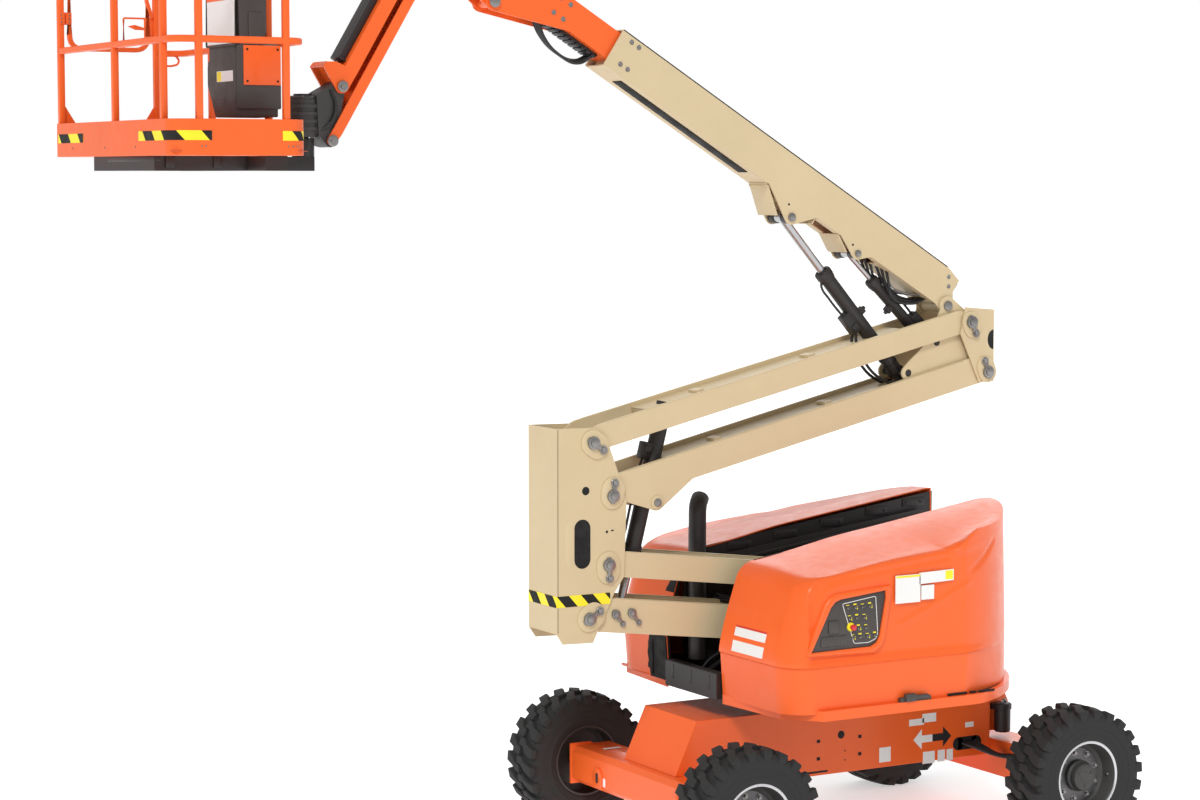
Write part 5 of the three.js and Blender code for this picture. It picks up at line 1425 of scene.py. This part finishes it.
# --- platform
@dataclass(frozen=True)
class Platform:
    """The work platform: its tray, rails, gate, console and support."""

    x0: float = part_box("platform_floor")[0].x
    x1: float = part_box("platform_floor")[1].x
    y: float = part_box("platform_floor")[1].y
    bottom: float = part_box("platform_floor")[0].z
    toe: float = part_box("platform_floor")[1].z
    tube: float = 0.034
    inset: float = 0.0235
    corner: float = 0.11
    mid: float = 4.646
    top: float = 5.186
    latch_x: float = -2.4475
    body: str = "platform"

    def loop(self, form: Form, z: float) -> None:
        """One rail round three sides, ending at the gate's latch post."""
        x0, x1, y = self.x0 + self.inset, self.x1 - self.inset, self.y - self.inset
        form.rail([(x0, y, z), (x0, -y, z), (x1, -y, z), (x1, y, z), (self.latch_x, y, z)], self.tube,
            self.corner - self.inset)

    def rails(self) -> None:
        """Posts, rails and the gussets at the posts' feet."""
        form = Form()
        self.loop(form, self.mid)
        self.loop(form, self.top)
        x0, x1, y, half = self.x0 + self.inset, self.x1 - self.inset, self.y - self.inset, self.tube / 2
        foot, top = self.bottom + 0.022, self.top - half + 0.004
        for px, py in ((x0, y), (self.latch_x, y), (x0, -0.688), (x0 + 0.128, -y), (x1 - 0.097, -y),
                (x1, -0.387), (x1, 0.387), (x0, 0.0)):
            form.box((px - half, py - half, foot), (px + half, py + half, top), 0.005)
        for px, way in ((x0 + half, 1), (self.latch_x - half, -1)):
            form.plate([(px - way * 0.004, self.toe - 0.02), (px + way * 0.075, self.toe - 0.02),
                (px - way * 0.004, self.toe + 0.105)], y - 0.004, y + 0.004, 0.001)
        form.finish("platform_rail_tubes", Paint.ORANGE, self.body, replaces=["platform_rails"])

    def gate_fittings(self) -> None:
        """The swing gate, its hinge leaves, and the latch on its post."""
        low, high, y = self.mid + 0.015, self.top, self.y - self.inset
        post = self.x0 + self.inset
        start, end, axis = post + 0.05, self.latch_x - 0.05, post + self.tube / 2 + 0.0106
        gate, steel, fixed, screws, out = Form(), Form(), Form(), Form(), (0, -1, 0)
        gate.rail([(start, y, low), (start, y, high), (end, y, high), (end, y, low)], 0.026, 0.075, closed=True)
        for z in (low + 0.16, high - 0.11):
            gate.rod((axis, y, z - 0.034), (axis, y, z + 0.034), 0.0095, sides=24, bevel=0.001)
            gate.box((axis, y - 0.0175, z - 0.032), (start + 0.008, y - 0.0125, z + 0.032), 0.001)
            fixed.box((post - 0.012, y - 0.0225, z - 0.032), (axis - 0.01, y - 0.0165, z + 0.032), 0.001)
            for dz in (-0.02, 0.0, 0.02):
                steel.bolt((start - 0.006, y - 0.0175, z + dz), out, 0.0045, 0.004, False)
                screws.bolt((post - 0.002, y - 0.0225, z + dz), out, 0.0045, 0.004, False)
        gate.finish("gate_leaf", Paint.ORANGE, "platform_gate", replaces=["platform_gate"])
        steel.finish("gate_screws", Paint.BOLT, "platform_gate", replaces=["platform_gate"])
        x = self.latch_x - self.tube / 2
        fixed.box((x - 0.052, y - 0.006, 4.716), (x + 0.004, y + 0.006, 4.838), 0.003)
        fixed.rail([(x - u, y, z) for u, z in ((0.04, 4.834), (0.17, 4.834), (0.17, 4.7), (0.15, 4.7))], 0.01, 0.01)
        fixed.prism([(x - u, y - v, z) for u, v, z in ((0.15, 0.006, 4.79), (0.11, 0.02, 4.798), (0.055, 0.01, 4.784),
            (0.055, 0.01, 4.77), (0.11, 0.02, 4.77))], (0, 0.008, 0), 0.003)
        fixed.rail([(x - 0.04, y - 0.004, 4.936), (x - 0.008, y - 0.004, 4.836)], 0.02, 0.01)
        fixed.hose([(x + u, y - v, z) for u, v, z in ((0.036, 0.005, 4.64), (0.1, 0.008, 4.64), (0.138, 0.008, 4.622),
            (0.142, 0.008, 4.596), (0.11, 0.008, 4.58), (0.05, 0.008, 4.58))], 0.006, 8)
        fixed.finish("gate_fixed_fittings", Paint.ORANGE, self.body)
        screws.finish("hinge_screws", Paint.BOLT, self.body)

    def tray(self) -> None:
        """The toe board with its rolled edge, the studded floor and the stripes."""
        x, y, z = self.x0, self.y, self.bottom
        soften("platform_floor", Paint.ORANGE, 0.0025)
        floor = Form().box((x + 0.012, -y + 0.012, z + 0.0205), (self.x1 - 0.012, y - 0.012, z + 0.0235))
        floor.finish("studded_floor", Paint.FLOOR, self.body)
        dark_trim, yellow, dark, bolts = Form(), Form(), Form(), Form()
        for u in (0.13, 0.63):
            dark_trim.box((x - 0.0003, -y + u, z + 0.024), (x + 0.002, -y + u + 0.002, z + 0.026))
        dark_trim.finish("toe_board_marks", Paint.DARK, self.body)
        outer = [(x, y - self.corner + 0.08), (x, 0.43)]
        middle = [(x, -0.395), *self.rounded(x + self.corner, 180), (-2.808, -y)]
        inner = [(-2.431, -y), *self.rounded(self.x1 - self.corner, 270), (self.x1, -y + 0.26)]
        for path, width, start in ((outer, 0.15, 0.01), (middle, 0.128, 0.058), (inner, 0.062, 0.05)):
            yellow.band(path, z + 0.074, z + 0.122, 0.0006)
            dark.slants(path, z + 0.074, z + 0.122, 0.0016, width, start)
        yellow.finish("toe_board_stripe_ground", Paint.YELLOW, self.body)
        dark.finish("toe_board_stripes", Paint.DARK, self.body)
        for u in (-2.86, -2.84, -2.4, -2.375, -2.35):
            bolts.bolt((u, -y, z + 0.045), (0, -1, 0), 0.0045, 0.003, False)
        for v in (0.6, 0.1, -0.35):
            bolts.bolt((x, v, z + 0.045), (-1, 0, 0), 0.0045, 0.003, False)
        bolts.finish("toe_board_bolts", Paint.BOLT, self.body)

    def rounded(self, centre_x: float, start: float) -> list[tuple[float, float]]:
        """A near corner of the toe board, seen from above, turning left from an angle in degrees."""
        return [(centre_x + u, self.corner - self.y + v) for u, v in arc(self.corner, start, start + 90, 12)]

    def console(self) -> None:
        """The console's housings, the document holder and its blank pages."""
        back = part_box("platform_console")[1].x
        front, near, far, node = back - 0.25, -0.6, -0.215, ["platform_console"]
        housing, lever, bolts, pages = Form(), Form(), Form(), Form()
        housing.box((back - 0.243, near, 4.312), (back - 0.002, near + 0.15, 4.634), 0.006)
        housing.prism([(back - 0.2495, y, z) for y, z in ((near + 0.012, 4.272), (far - 0.105, 4.272), (far, 4.44),
            (far, 4.534), (far - 0.024, 4.545), (far - 0.028, 4.64), (near + 0.012, 4.64))], (0.235, 0, 0), 0.006)
        housing.box((front + 0.004, far - 0.34, 4.535), (front + 0.05, far + 0.002, 4.56), 0.004)
        housing.plate([(back - u, z) for u, z in ((0.2265, 4.63), (0.2385, 5.05), (0.15, 5.12), (0.078, 5.19),
            (0.078, 4.7), (0.1, 4.63))], near + 0.004, far - 0.004, 0.006)
        housing.box((back - 0.18, near - 0.004, 4.648), (back - 0.1, near + 0.02, 4.8), 0.008)
        for z in (4.33, 4.348, 4.366):
            housing.box((front - 0.002, far - 0.24, z), (front + 0.01, far - 0.15, z + 0.006), 0.001)
        housing.finish("console_housing", Paint.PLASTIC, self.body, replaces=node)
        for y in (-0.53, -0.41, -0.29):
            base = Vector((back - 0.1, y, 5.15))
            lever.rod(base, base + Vector((-0.018, 0, 0.03)), 0.012, sides=20)
            lever.rod(base + Vector((-0.01, 0, 0.02)), base + Vector((-0.03, 0, 0.052)), 0.01, 0.014, 20, 0.003)
        lever.finish("console_levers", Paint.PLASTIC, self.body, replaces=node)
        panel = Form().box((back - 0.209, near - 0.0055, 4.432), (back - 0.006, near + 0.002, 4.632), 0.003)
        panel.finish("console_cover", Paint.ORANGE, self.body)
        for px, pz in ((0.19, 4.452), (0.19, 4.612), (0.024, 4.452), (0.024, 4.612)):
            bolts.bolt((back - px, near - 0.0055, pz), (0, -1, 0), 0.006, 0.004, False)
        bolts.finish("console_bolts", Paint.DARK, self.body)
        for i in range(3):
            pages.box((front - 0.0002 - 0.0009 * i, -0.596 + 0.006 * i, 4.642),
                (front + 0.004, -0.222 - 0.006 * i, 5.02 - 0.01 * i), 0.0006, 1)
        label = Form().box((front, -0.56, 4.452), (front + 0.004, -0.345, 4.506), 0.0005, 1)
        header = Form().box((front - 0.0028, -0.594, 4.862), (front, -0.224, 4.894), 0.0003, 1)
        corner = Form().box((front - 0.0004, -0.405, 4.455), (front + 0.002, -0.35, 4.503), 0.0002, 1)
        edge = Form().rail([(front - 0.001, y, z) for y, z in ((-0.602, 4.634), (-0.216, 4.634), (-0.216, 5.03),
            (-0.602, 5.03))], 0.01, 0.012, closed=True)
        for form, name, paint in ((label, "console_label", Paint.WHITE), (pages, "document_pages", Paint.WHITE),
                (header, "document_header", Paint.ORANGE), (corner, "console_label_corner", Paint.YELLOW),
                (edge, "document_frame", Paint.PLASTIC)):
            form.finish(name, paint, self.body)

    def support(self) -> None:
        """The beams under the floor, with folded edges, clamps and bolts."""
        soften("platform_support", Paint.BLACK, 0.004)
        extra = Form()
        z = self.bottom - 0.001
        for y in (-0.3, 0.3):
            for x in (self.x0 + 0.16, self.x0 + 0.42):
                extra.box((x, y - 0.052, z - 0.06), (x + 0.05, y + 0.052, z), 0.004)
        extra.box((self.x0 + 0.1, -0.345, z - 0.028), (self.x0 + 0.14, 0.345, z), 0.003)
        extra.finish("support_clamps", Paint.BLACK, self.body)

    def build(self) -> None:
        """Dresses the whole platform."""
        self.tray()
        self.rails()
        self.gate_fittings()
        self.console()
        self.support()


# --- chassis and turret trim
@dataclass(frozen=True)
class Chassis:
    """Trim of the chassis and its axles."""

    face: float = 0.29
    top: float = 0.84

    def side_marks(self) -> None:
        """Holes drawn as flat dark patches of painted shade, plates and the two-way arrow on each side."""
        holes, plates = Form(), Form()
        # Each hole and opening is a flat dark patch of painted shade.
        for side, y0, y1 in both_faces(self.face, 0.004, 0.0006):
            for x, z in ((1.213, 0.636), (1.213, 0.531), (1.512, 0.636), (1.512, 0.531)):
                holes.box((x - 0.012, y0, z - 0.01), (x + 0.012, y1, z + 0.01), 0.0002, 1)
            for x, z, radius, sides in ((1.376, 0.66, 0.024, 32), (1.405, 0.56, 0.005, 16), (1.405, 0.505, 0.005, 16),
                    (2.245, 0.5155, 0.04, 32), (2.381, 0.5155, 0.04, 32)):
                holes.rod((x, y0, z), (x, y1, z), radius, sides=sides)
            holes.box((1.116, y0, 0.446), (1.28, y1, 0.458), 0.0002, 1)
            holes.box((2.245, y0, 0.4755), (2.381, y1, 0.5555))
            low, high = (y0 - 0.0002, y1) if side < 0 else (y0, y1 + 0.0002)
            for x0, x1, z0, z1 in ((1.874, 1.985, 0.66, 0.7), (1.972, 2.076, 0.672, 0.726),
                    (1.655, 1.739, 0.461, 0.551), (2.297, 2.361, 0.611, 0.643), (1.979, 2.068, 0.418, 0.492),
                    (2.09, 2.145, 0.42, 0.492), (2.158, 2.205, 0.421, 0.49)):
                plates.box((x0, low, z0), (x1, high, z1), 0.0002, 1)
        holes.finish("chassis_hole_shades", Paint.DARK, "chassis")
        plates.finish("chassis_plates", Paint.WHITE, "chassis")
        self.arrow()

    def arrow(self) -> None:
        """A plain two-way arrow: one half white, the other black."""
        middle, z, half, head, shaft, wing = 2.049, 0.572, 0.142, 0.062, 0.022, 0.062
        places = (0, -shaft), (half - head, -shaft), (half - head, -wing), (half, 0), (half - head, wing), \
            (half - head, shaft), (0, shaft)
        for name, paint, way in (("white", Paint.WHITE, -1), ("black", Paint.DARK, 1)):
            form = Form()
            for _, y0, y1 in both_faces(self.face, 0.002, 0.0009):
                form.plate([(middle + way * u, z + v) for u, v in places], y0, y1)
            form.finish(f"chassis_arrow_{name}", paint, "chassis")

    def canister(self) -> None:
        """The filter canister, the lug plates and the tail's brackets."""
        x, y = 2.575, -0.3
        form = Form().ring([(0.0, 0.56), (0.044, 0.562), (0.05, 0.57), (0.05, 0.7), (0.056, 0.704), (0.056, 0.735),
            (0.046, 0.742), (0.0, 0.742)], (x, y, 0), (0, 0, 1), 48)
        form.box((x - 0.06, y + 0.01, 0.7), (x + 0.03, y + 0.08, 0.735), 0.005)
        form.finish("filter_canister", Paint.BLACK, "chassis")
        caps = Form().rod((x - 0.02, y - 0.02, 0.74), (x - 0.02, y - 0.02, 0.757), 0.011, sides=20, bevel=0.002)
        caps.rod((x + 0.022, y + 0.01, 0.74), (x + 0.022, y + 0.01, 0.762), 0.012, sides=20, bevel=0.002)
        caps.finish("filter_fittings", Paint.BOLT, "chassis")
        lug, slot = Form(), Form()
        outline = [(2.484, 0.56), (2.6, 0.56), (2.66, 0.6), (2.672, 0.66), (2.668, 0.74), (2.64, 0.792), (2.6, 0.812),
            (2.484, 0.815)]
        for y0, y1 in ((-0.236, -0.222), (0.222, 0.236)):
            lug.plate(outline, y0, y1, 0.003)
            # The slots through the lug plates are dark pieces of painted shade.
            for z in (0.65, 0.745):
                slot.rod((2.645, y0 - 0.0008, z), (2.645, y1 + 0.0008, z), 0.01, sides=20)
            slot.box((2.635, y0 - 0.0008, 0.65), (2.655, y1 + 0.0008, 0.745))
        lug.box((2.484, -0.225, 0.556), (2.5, 0.225, 0.818), 0.003)
        lug.finish("tail_lugs", Paint.ORANGE, "chassis")
        slot.finish("tail_lug_slot_shades", Paint.DARK, "chassis")

    def hoses(self) -> None:
        """Hoses from the oval opening to each steered wheel's drive."""
        for side, name in ((-1, "near"), (1, "far")):
            form = Form()
            for i in range(4):
                a, b = 0.03 * i, 0.012 * i
                form.hose([(2.27 + a, side * 0.27, 0.52 + b * 0.4), (2.31 + a, side * 0.33, 0.505 - b * 0.3),
                    (2.4 + a * 0.8, side * 0.43, 0.462 - b * 0.4), (2.475 + a * 0.5, side * 0.54, 0.44 + b * 0.8),
                    (2.53 + a * 0.5, side * 0.6, 0.4 + b * 1.6)], 0.0105, 8)
            form.finish(f"drive_hoses_{name}", Paint.HOSE, "chassis")

    def axles(self) -> None:
        """The fixed axle's tie-down lugs, tags, end flanges and bolts."""
        low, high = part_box("fixed_axle")
        lug, dark, tags, bolts, z = Form(), Form(), Form(), Form(), 0.392
        outline = [(-0.055, 0.0), *((0.055 * u, 0.062 * v) for u, v in arc(1.0, 180, 0, 12)), (0.055, 0.0),
            (0.055, -0.062), (-0.055, -0.062)]
        for side in (-1, 1):
            y = -side * 0.455
            lug.prism([(low.x + 0.002, y + u, z + v) for u, v in outline], (-0.012, 0, 0), 0.002)
            # A dark block at each tie-down lug: painted shade of its opening.
            dark.box((low.x - 0.0108, y - 0.014, z - 0.03), (low.x, y + 0.014, z + 0.03), 0.002)
            y0, y1 = sorted((side * 0.776, side * 0.796))
            lug.box((low.x - 0.006, y0, low.z + 0.002), (low.x + 0.14, y1, high.z + 0.008), 0.004)
            for k in range(8):
                a = pi * k / 4 + 0.2
                bolts.bolt((0.271 + 0.095 * cos(a), side * 0.82, 0.415 + 0.095 * sin(a)), (0, side, 0),
                    0.01, 0.01)
        tags.box((low.x - 0.0008, 0.37, 0.35), (low.x + 0.004, 0.398, 0.4), 0.0002, 1)
        tags.box((0.245, 0.56, high.z - 0.002), (0.36, 0.59, high.z + 0.0008), 0.0002, 1)
        for form, name, paint in ((lug, "axle_lugs", Paint.ORANGE), (dark, "axle_lug_slot_shades", Paint.DARK),
                (tags, "axle_tags", Paint.WHITE), (bolts, "axle_bolts", Paint.BOLT)):
            form.finish(name, paint, "chassis")

    def welds(self) -> None:
        """The folded seams where the front plate meets the top and the axle."""
        form = Form()
        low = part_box("chassis_frame")[0]
        form.box((low.x + 0.11, -0.291, 0.5295), (low.x + 0.19, 0.291, 0.5365), 0.002)
        for x in (1.0, 1.9):
            form.box((x, -0.1, 0.838), (x + 0.02, 0.1, 0.846), 0.002)
        form.finish("chassis_seams", Paint.ORANGE, "chassis")

    def build(self) -> None:
        """Dresses the chassis."""
        self.side_marks()
        self.canister()
        self.hoses()
        self.axles()
        self.welds()


@dataclass(frozen=True)
class Turret:
    """Trim of the turret: its skirt, sill, corridor, exhaust and service hoses."""

    deck: float = 0.985
    inner: float = 0.262

    def skirt(self) -> None:
        """The orange lip round the deck's edge, with the narrow ledge in front of the hoods."""
        path = [(0.533, -0.31), (0.575, -0.855), (0.735, -1.0405), (1.795, -1.0405),
            *((SLEW.x + u, v) for u, v in arc(1.112, -68, -16, 14))]
        lip = Form().band(path, 0.93, 0.986, 0.006, 0.012).band(path, 0.9855, 0.9885, 0.006, 0.03).mirrored()
        lip.finish("turret_skirt", Paint.ORANGE, "turret")

    def corridor(self) -> None:
        """What shows between the hoods: frame, hinges, trays and hose loops."""
        form, loops = Form(), Form()
        for _, y0, y1 in both_faces(self.inner, 0.012, 0.004):
            form.box((0.735, y0, self.deck), (0.765, y1, 1.66), 0.003)
            for x in (0.9, 1.35, 1.8, 2.2):
                z = 1.62 + 0.13 * (x - 0.74)
                form.box((x, y0, z - 0.06), (x + 0.16, y1, z - 0.012), 0.003)
                for place in (x + 0.03, x + 0.13):
                    form.rod((place, y0 - 0.003, z - 0.036), (place, y1 + 0.003, z - 0.036), 0.008, sides=16)
            form.plate([(0.77, 1.655), (2.35, 1.868), (2.35, 1.852), (0.77, 1.639)], y0, y1, 0.001)
        form.box((0.505, -0.283, 1.092), (0.562, 0.283, 1.104), 0.003)
        for y in (-0.2, 0.0, 0.2):
            form.box((0.4995, y - 0.012, 1.0), (0.504, y + 0.012, 1.088), 0.001)
        form.finish("corridor_frame", Paint.BLACK, "turret")
        for i, y in enumerate((-0.215, -0.185, -0.155, 0.12, 0.155, 0.19, 0.222)):
            z = 1.02 + 0.012 * (i % 3)
            loops.hose([(0.6 + 0.02 * i, y, z), (0.74, y, z + 0.02 + 0.02 * (i % 2)), (0.92, y * 0.96, z + 0.15),
                (0.98, y * 0.92, z + 0.3), (0.9, y * 0.9, z + 0.4), (0.78, y * 0.9, z + 0.44)], 0.012, 8)
        loops.finish("corridor_hoses", Paint.HOSE, "turret")

    def exhaust(self) -> None:
        """The exhaust's swept stack beside the far hood."""
        pipe = Form().hose([(0.69, 0.2325, 1.1), (0.69, 0.2325, 1.6), (0.69, 0.2325, 1.92), (0.702, 0.246, 2.015),
            (0.745, 0.29, 2.055)], 0.053, 18)
        pipe.finish("exhaust_stack", Paint.BLACK, "turret", replaces=["exhaust_pipe"])

    def engine(self) -> None:
        """Ribs, a belt cover and a filter on the plain engine block."""
        low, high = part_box("engine_block")
        form = Form()
        for i in range(9):
            x = low.x + 0.08 + 0.09 * i
            form.box((x, low.y + 0.03, high.z - 0.002), (x + 0.03, high.y - 0.03, high.z + 0.03), 0.004)
        form.rod((low.x + 0.2, low.y + 0.13, high.z + 0.085), (low.x + 0.62, low.y + 0.13, high.z + 0.085), 0.075,
            sides=40, bevel=0.01)
        form.finish("engine_top", Paint.CAST, "turret")

    def build(self) -> None:
        """Dresses the turret."""
        self.skirt()
        self.corridor()
        self.exhaust()
        self.engine()


# --- the stage
@dataclass(frozen=True)
class Studio:
    """The camera, the lights and the pale floor."""

    camera_at: Point = (-7.979, -13.697, 3.974)
    camera_pitch: float = 85.38
    camera_yaw: float = -29.87
    lens: float = 83.17
    sky: float = 0.56
    key: float = 1.62
    key_from: Point = (-0.55, -0.62, 0.8)
    floor_size: float = 220.0

    def world(self) -> None:
        """Pure white where the camera looks, a moderate even light on the machine."""
        world = bpy.data.worlds.new("studio")
        bpy.context.scene.world = world
        world.use_nodes = True
        tree = world.node_tree
        tree.nodes.clear()
        path, seen, mix, out = (tree.nodes.new("ShaderNode" + kind) for kind in
            ("LightPath", "Math", "MixShader", "OutputWorld"))
        seen.operation = "MAXIMUM"
        for i, ray in enumerate(("Is Camera Ray", "Is Transmission Ray")):
            tree.links.new(path.outputs[ray], seen.inputs[i])
        tree.links.new(seen.outputs[0], mix.inputs[0])
        for i, strength in enumerate((self.sky, 1.0)):
            light = tree.nodes.new("ShaderNodeBackground")
            light.inputs["Strength"].default_value = strength
            light.inputs["Color"].default_value = (1, 1, 1, 1)
            tree.links.new(light.outputs[0], mix.inputs[i + 1])
        tree.links.new(mix.outputs[0], out.inputs[0])

    def lights(self) -> None:
        """One broad key light from above the booms, and a weaker one from behind."""
        for name, origin, strength, spread in (("key", self.key_from, self.key, 14.0),
                ("rim", (0.7, 0.8, 0.5), 0.5, 40.0)):
            sun = bpy.data.lights.new(name, "SUN")
            sun.energy = strength
            sun.angle = radians(spread)
            shown(name, sun).rotation_euler = Vector(origin).to_track_quat("Z", "Y").to_euler()

    def floor(self) -> None:
        """A pale floor that keeps the machine's soft shadow."""
        nodes = Nodes("pale_floor")
        surface = nodes.surface
        surface.inputs["Roughness"].default_value = 0.9
        surface.inputs["Specular IOR Level"].default_value = 0.1
        nodes.link(nodes.mixed(nodes.noise(0.6), (0.86, 0.86, 0.86, 1), (0.88, 0.88, 0.88, 1)), "Base Color")
        nodes.link(nodes.node("RGB").outputs[0], "Emission Color")
        nodes.tree.nodes["RGB"].outputs[0].default_value = (1, 1, 1, 1)
        surface.inputs["Emission Strength"].default_value = 0.5
        half = self.floor_size / 2
        mesh = bpy.data.meshes.new("floor")
        mesh.from_pydata([(-half, -half, 0), (half, -half, 0), (half, half, 0), (-half, half, 0)], [], [(0, 1, 2, 3)])
        mesh.materials.append(nodes.material)
        floor = shown("floor", mesh)
        floor.location.z = -0.0005

    def camera(self) -> None:
        """The view of the machine from its near front quarter."""
        lens = bpy.data.cameras.new("camera")
        lens.lens = self.lens
        lens.sensor_width = 36.0
        lens.clip_end = 400.0
        camera = shown("camera", lens)
        camera.location = self.camera_at
        camera.rotation_euler = (radians(self.camera_pitch), 0.0, radians(self.camera_yaw))
        bpy.context.scene.camera = camera

    def build(self) -> None:
        """Makes the whole stage."""
        bpy.context.scene.view_settings.view_transform = "Standard"
        self.world()
        self.lights()
        self.floor()
        self.camera()


WHEEL_Y = 0.955
SOFTENED = {
    Paint.ORANGE: ("chassis_frame", "fixed_axle", "steered_axle", "fly_boom", "jib_base", "jib_arm", "jib_link"),
    Paint.TAN: ("lower_arm", "lower_link", "upright", "upper_arm", "upper_link", "knuckle", "main_boom"),
    Paint.BLACK: ("swing_bearing", "turntable_frame", "hose_guard", "lift_cylinder_barrel", "level_cylinder_barrel",
        "tower_cylinder_barrel", "jib_cylinder_barrel"),
    Paint.CAST: ("counterweight", "engine_block", "jib_head", "steering_knuckle_near", "steering_knuckle_far"),
    Paint.STEEL: ("tie_rod", "tower_cylinder_rod", "lift_cylinder_rod", "level_cylinder_rod", "jib_cylinder_rod")}


def main() -> None:
    """Builds every piece, the stage and the camera."""
    logging.basicConfig(level=logging.INFO, format="%(message)s")
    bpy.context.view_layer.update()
    for node in frame["nodes"]:
        dress(node, Paint.BLACK)
    for paint, nodes in SOFTENED.items():
        for node in nodes:
            dress(node, paint)
            soften(node, paint)
    for name in ("platform_rails", "platform_floor", "platform_gate"):
        dress(name, Paint.ORANGE)
    for axle in ("fixed", "steered"):
        for side, sign in (("near", -1), ("far", 1)):
            x = pin("wheel_fixed_near_spin" if axle == "fixed" else "wheel_steered_near_spin").x
            Wheel(f"wheel_{axle}_{side}", (x, sign * WHEEL_Y, 0.415), sign).build()
    Hood(-1, "near_hood", "near_hood").build()
    Hood(1, "far_hood", "far_hood", corner=0.33).build()
    ControlPanel().build()
    Chassis().build()
    Turret().build()
    Tower().build()
    Booms().build()
    Jib().build()
    Platform().build()
    for cylinder in cylinders():
        cylinder.build()
    Studio().build()


if __name__ == "__main__":
    main()
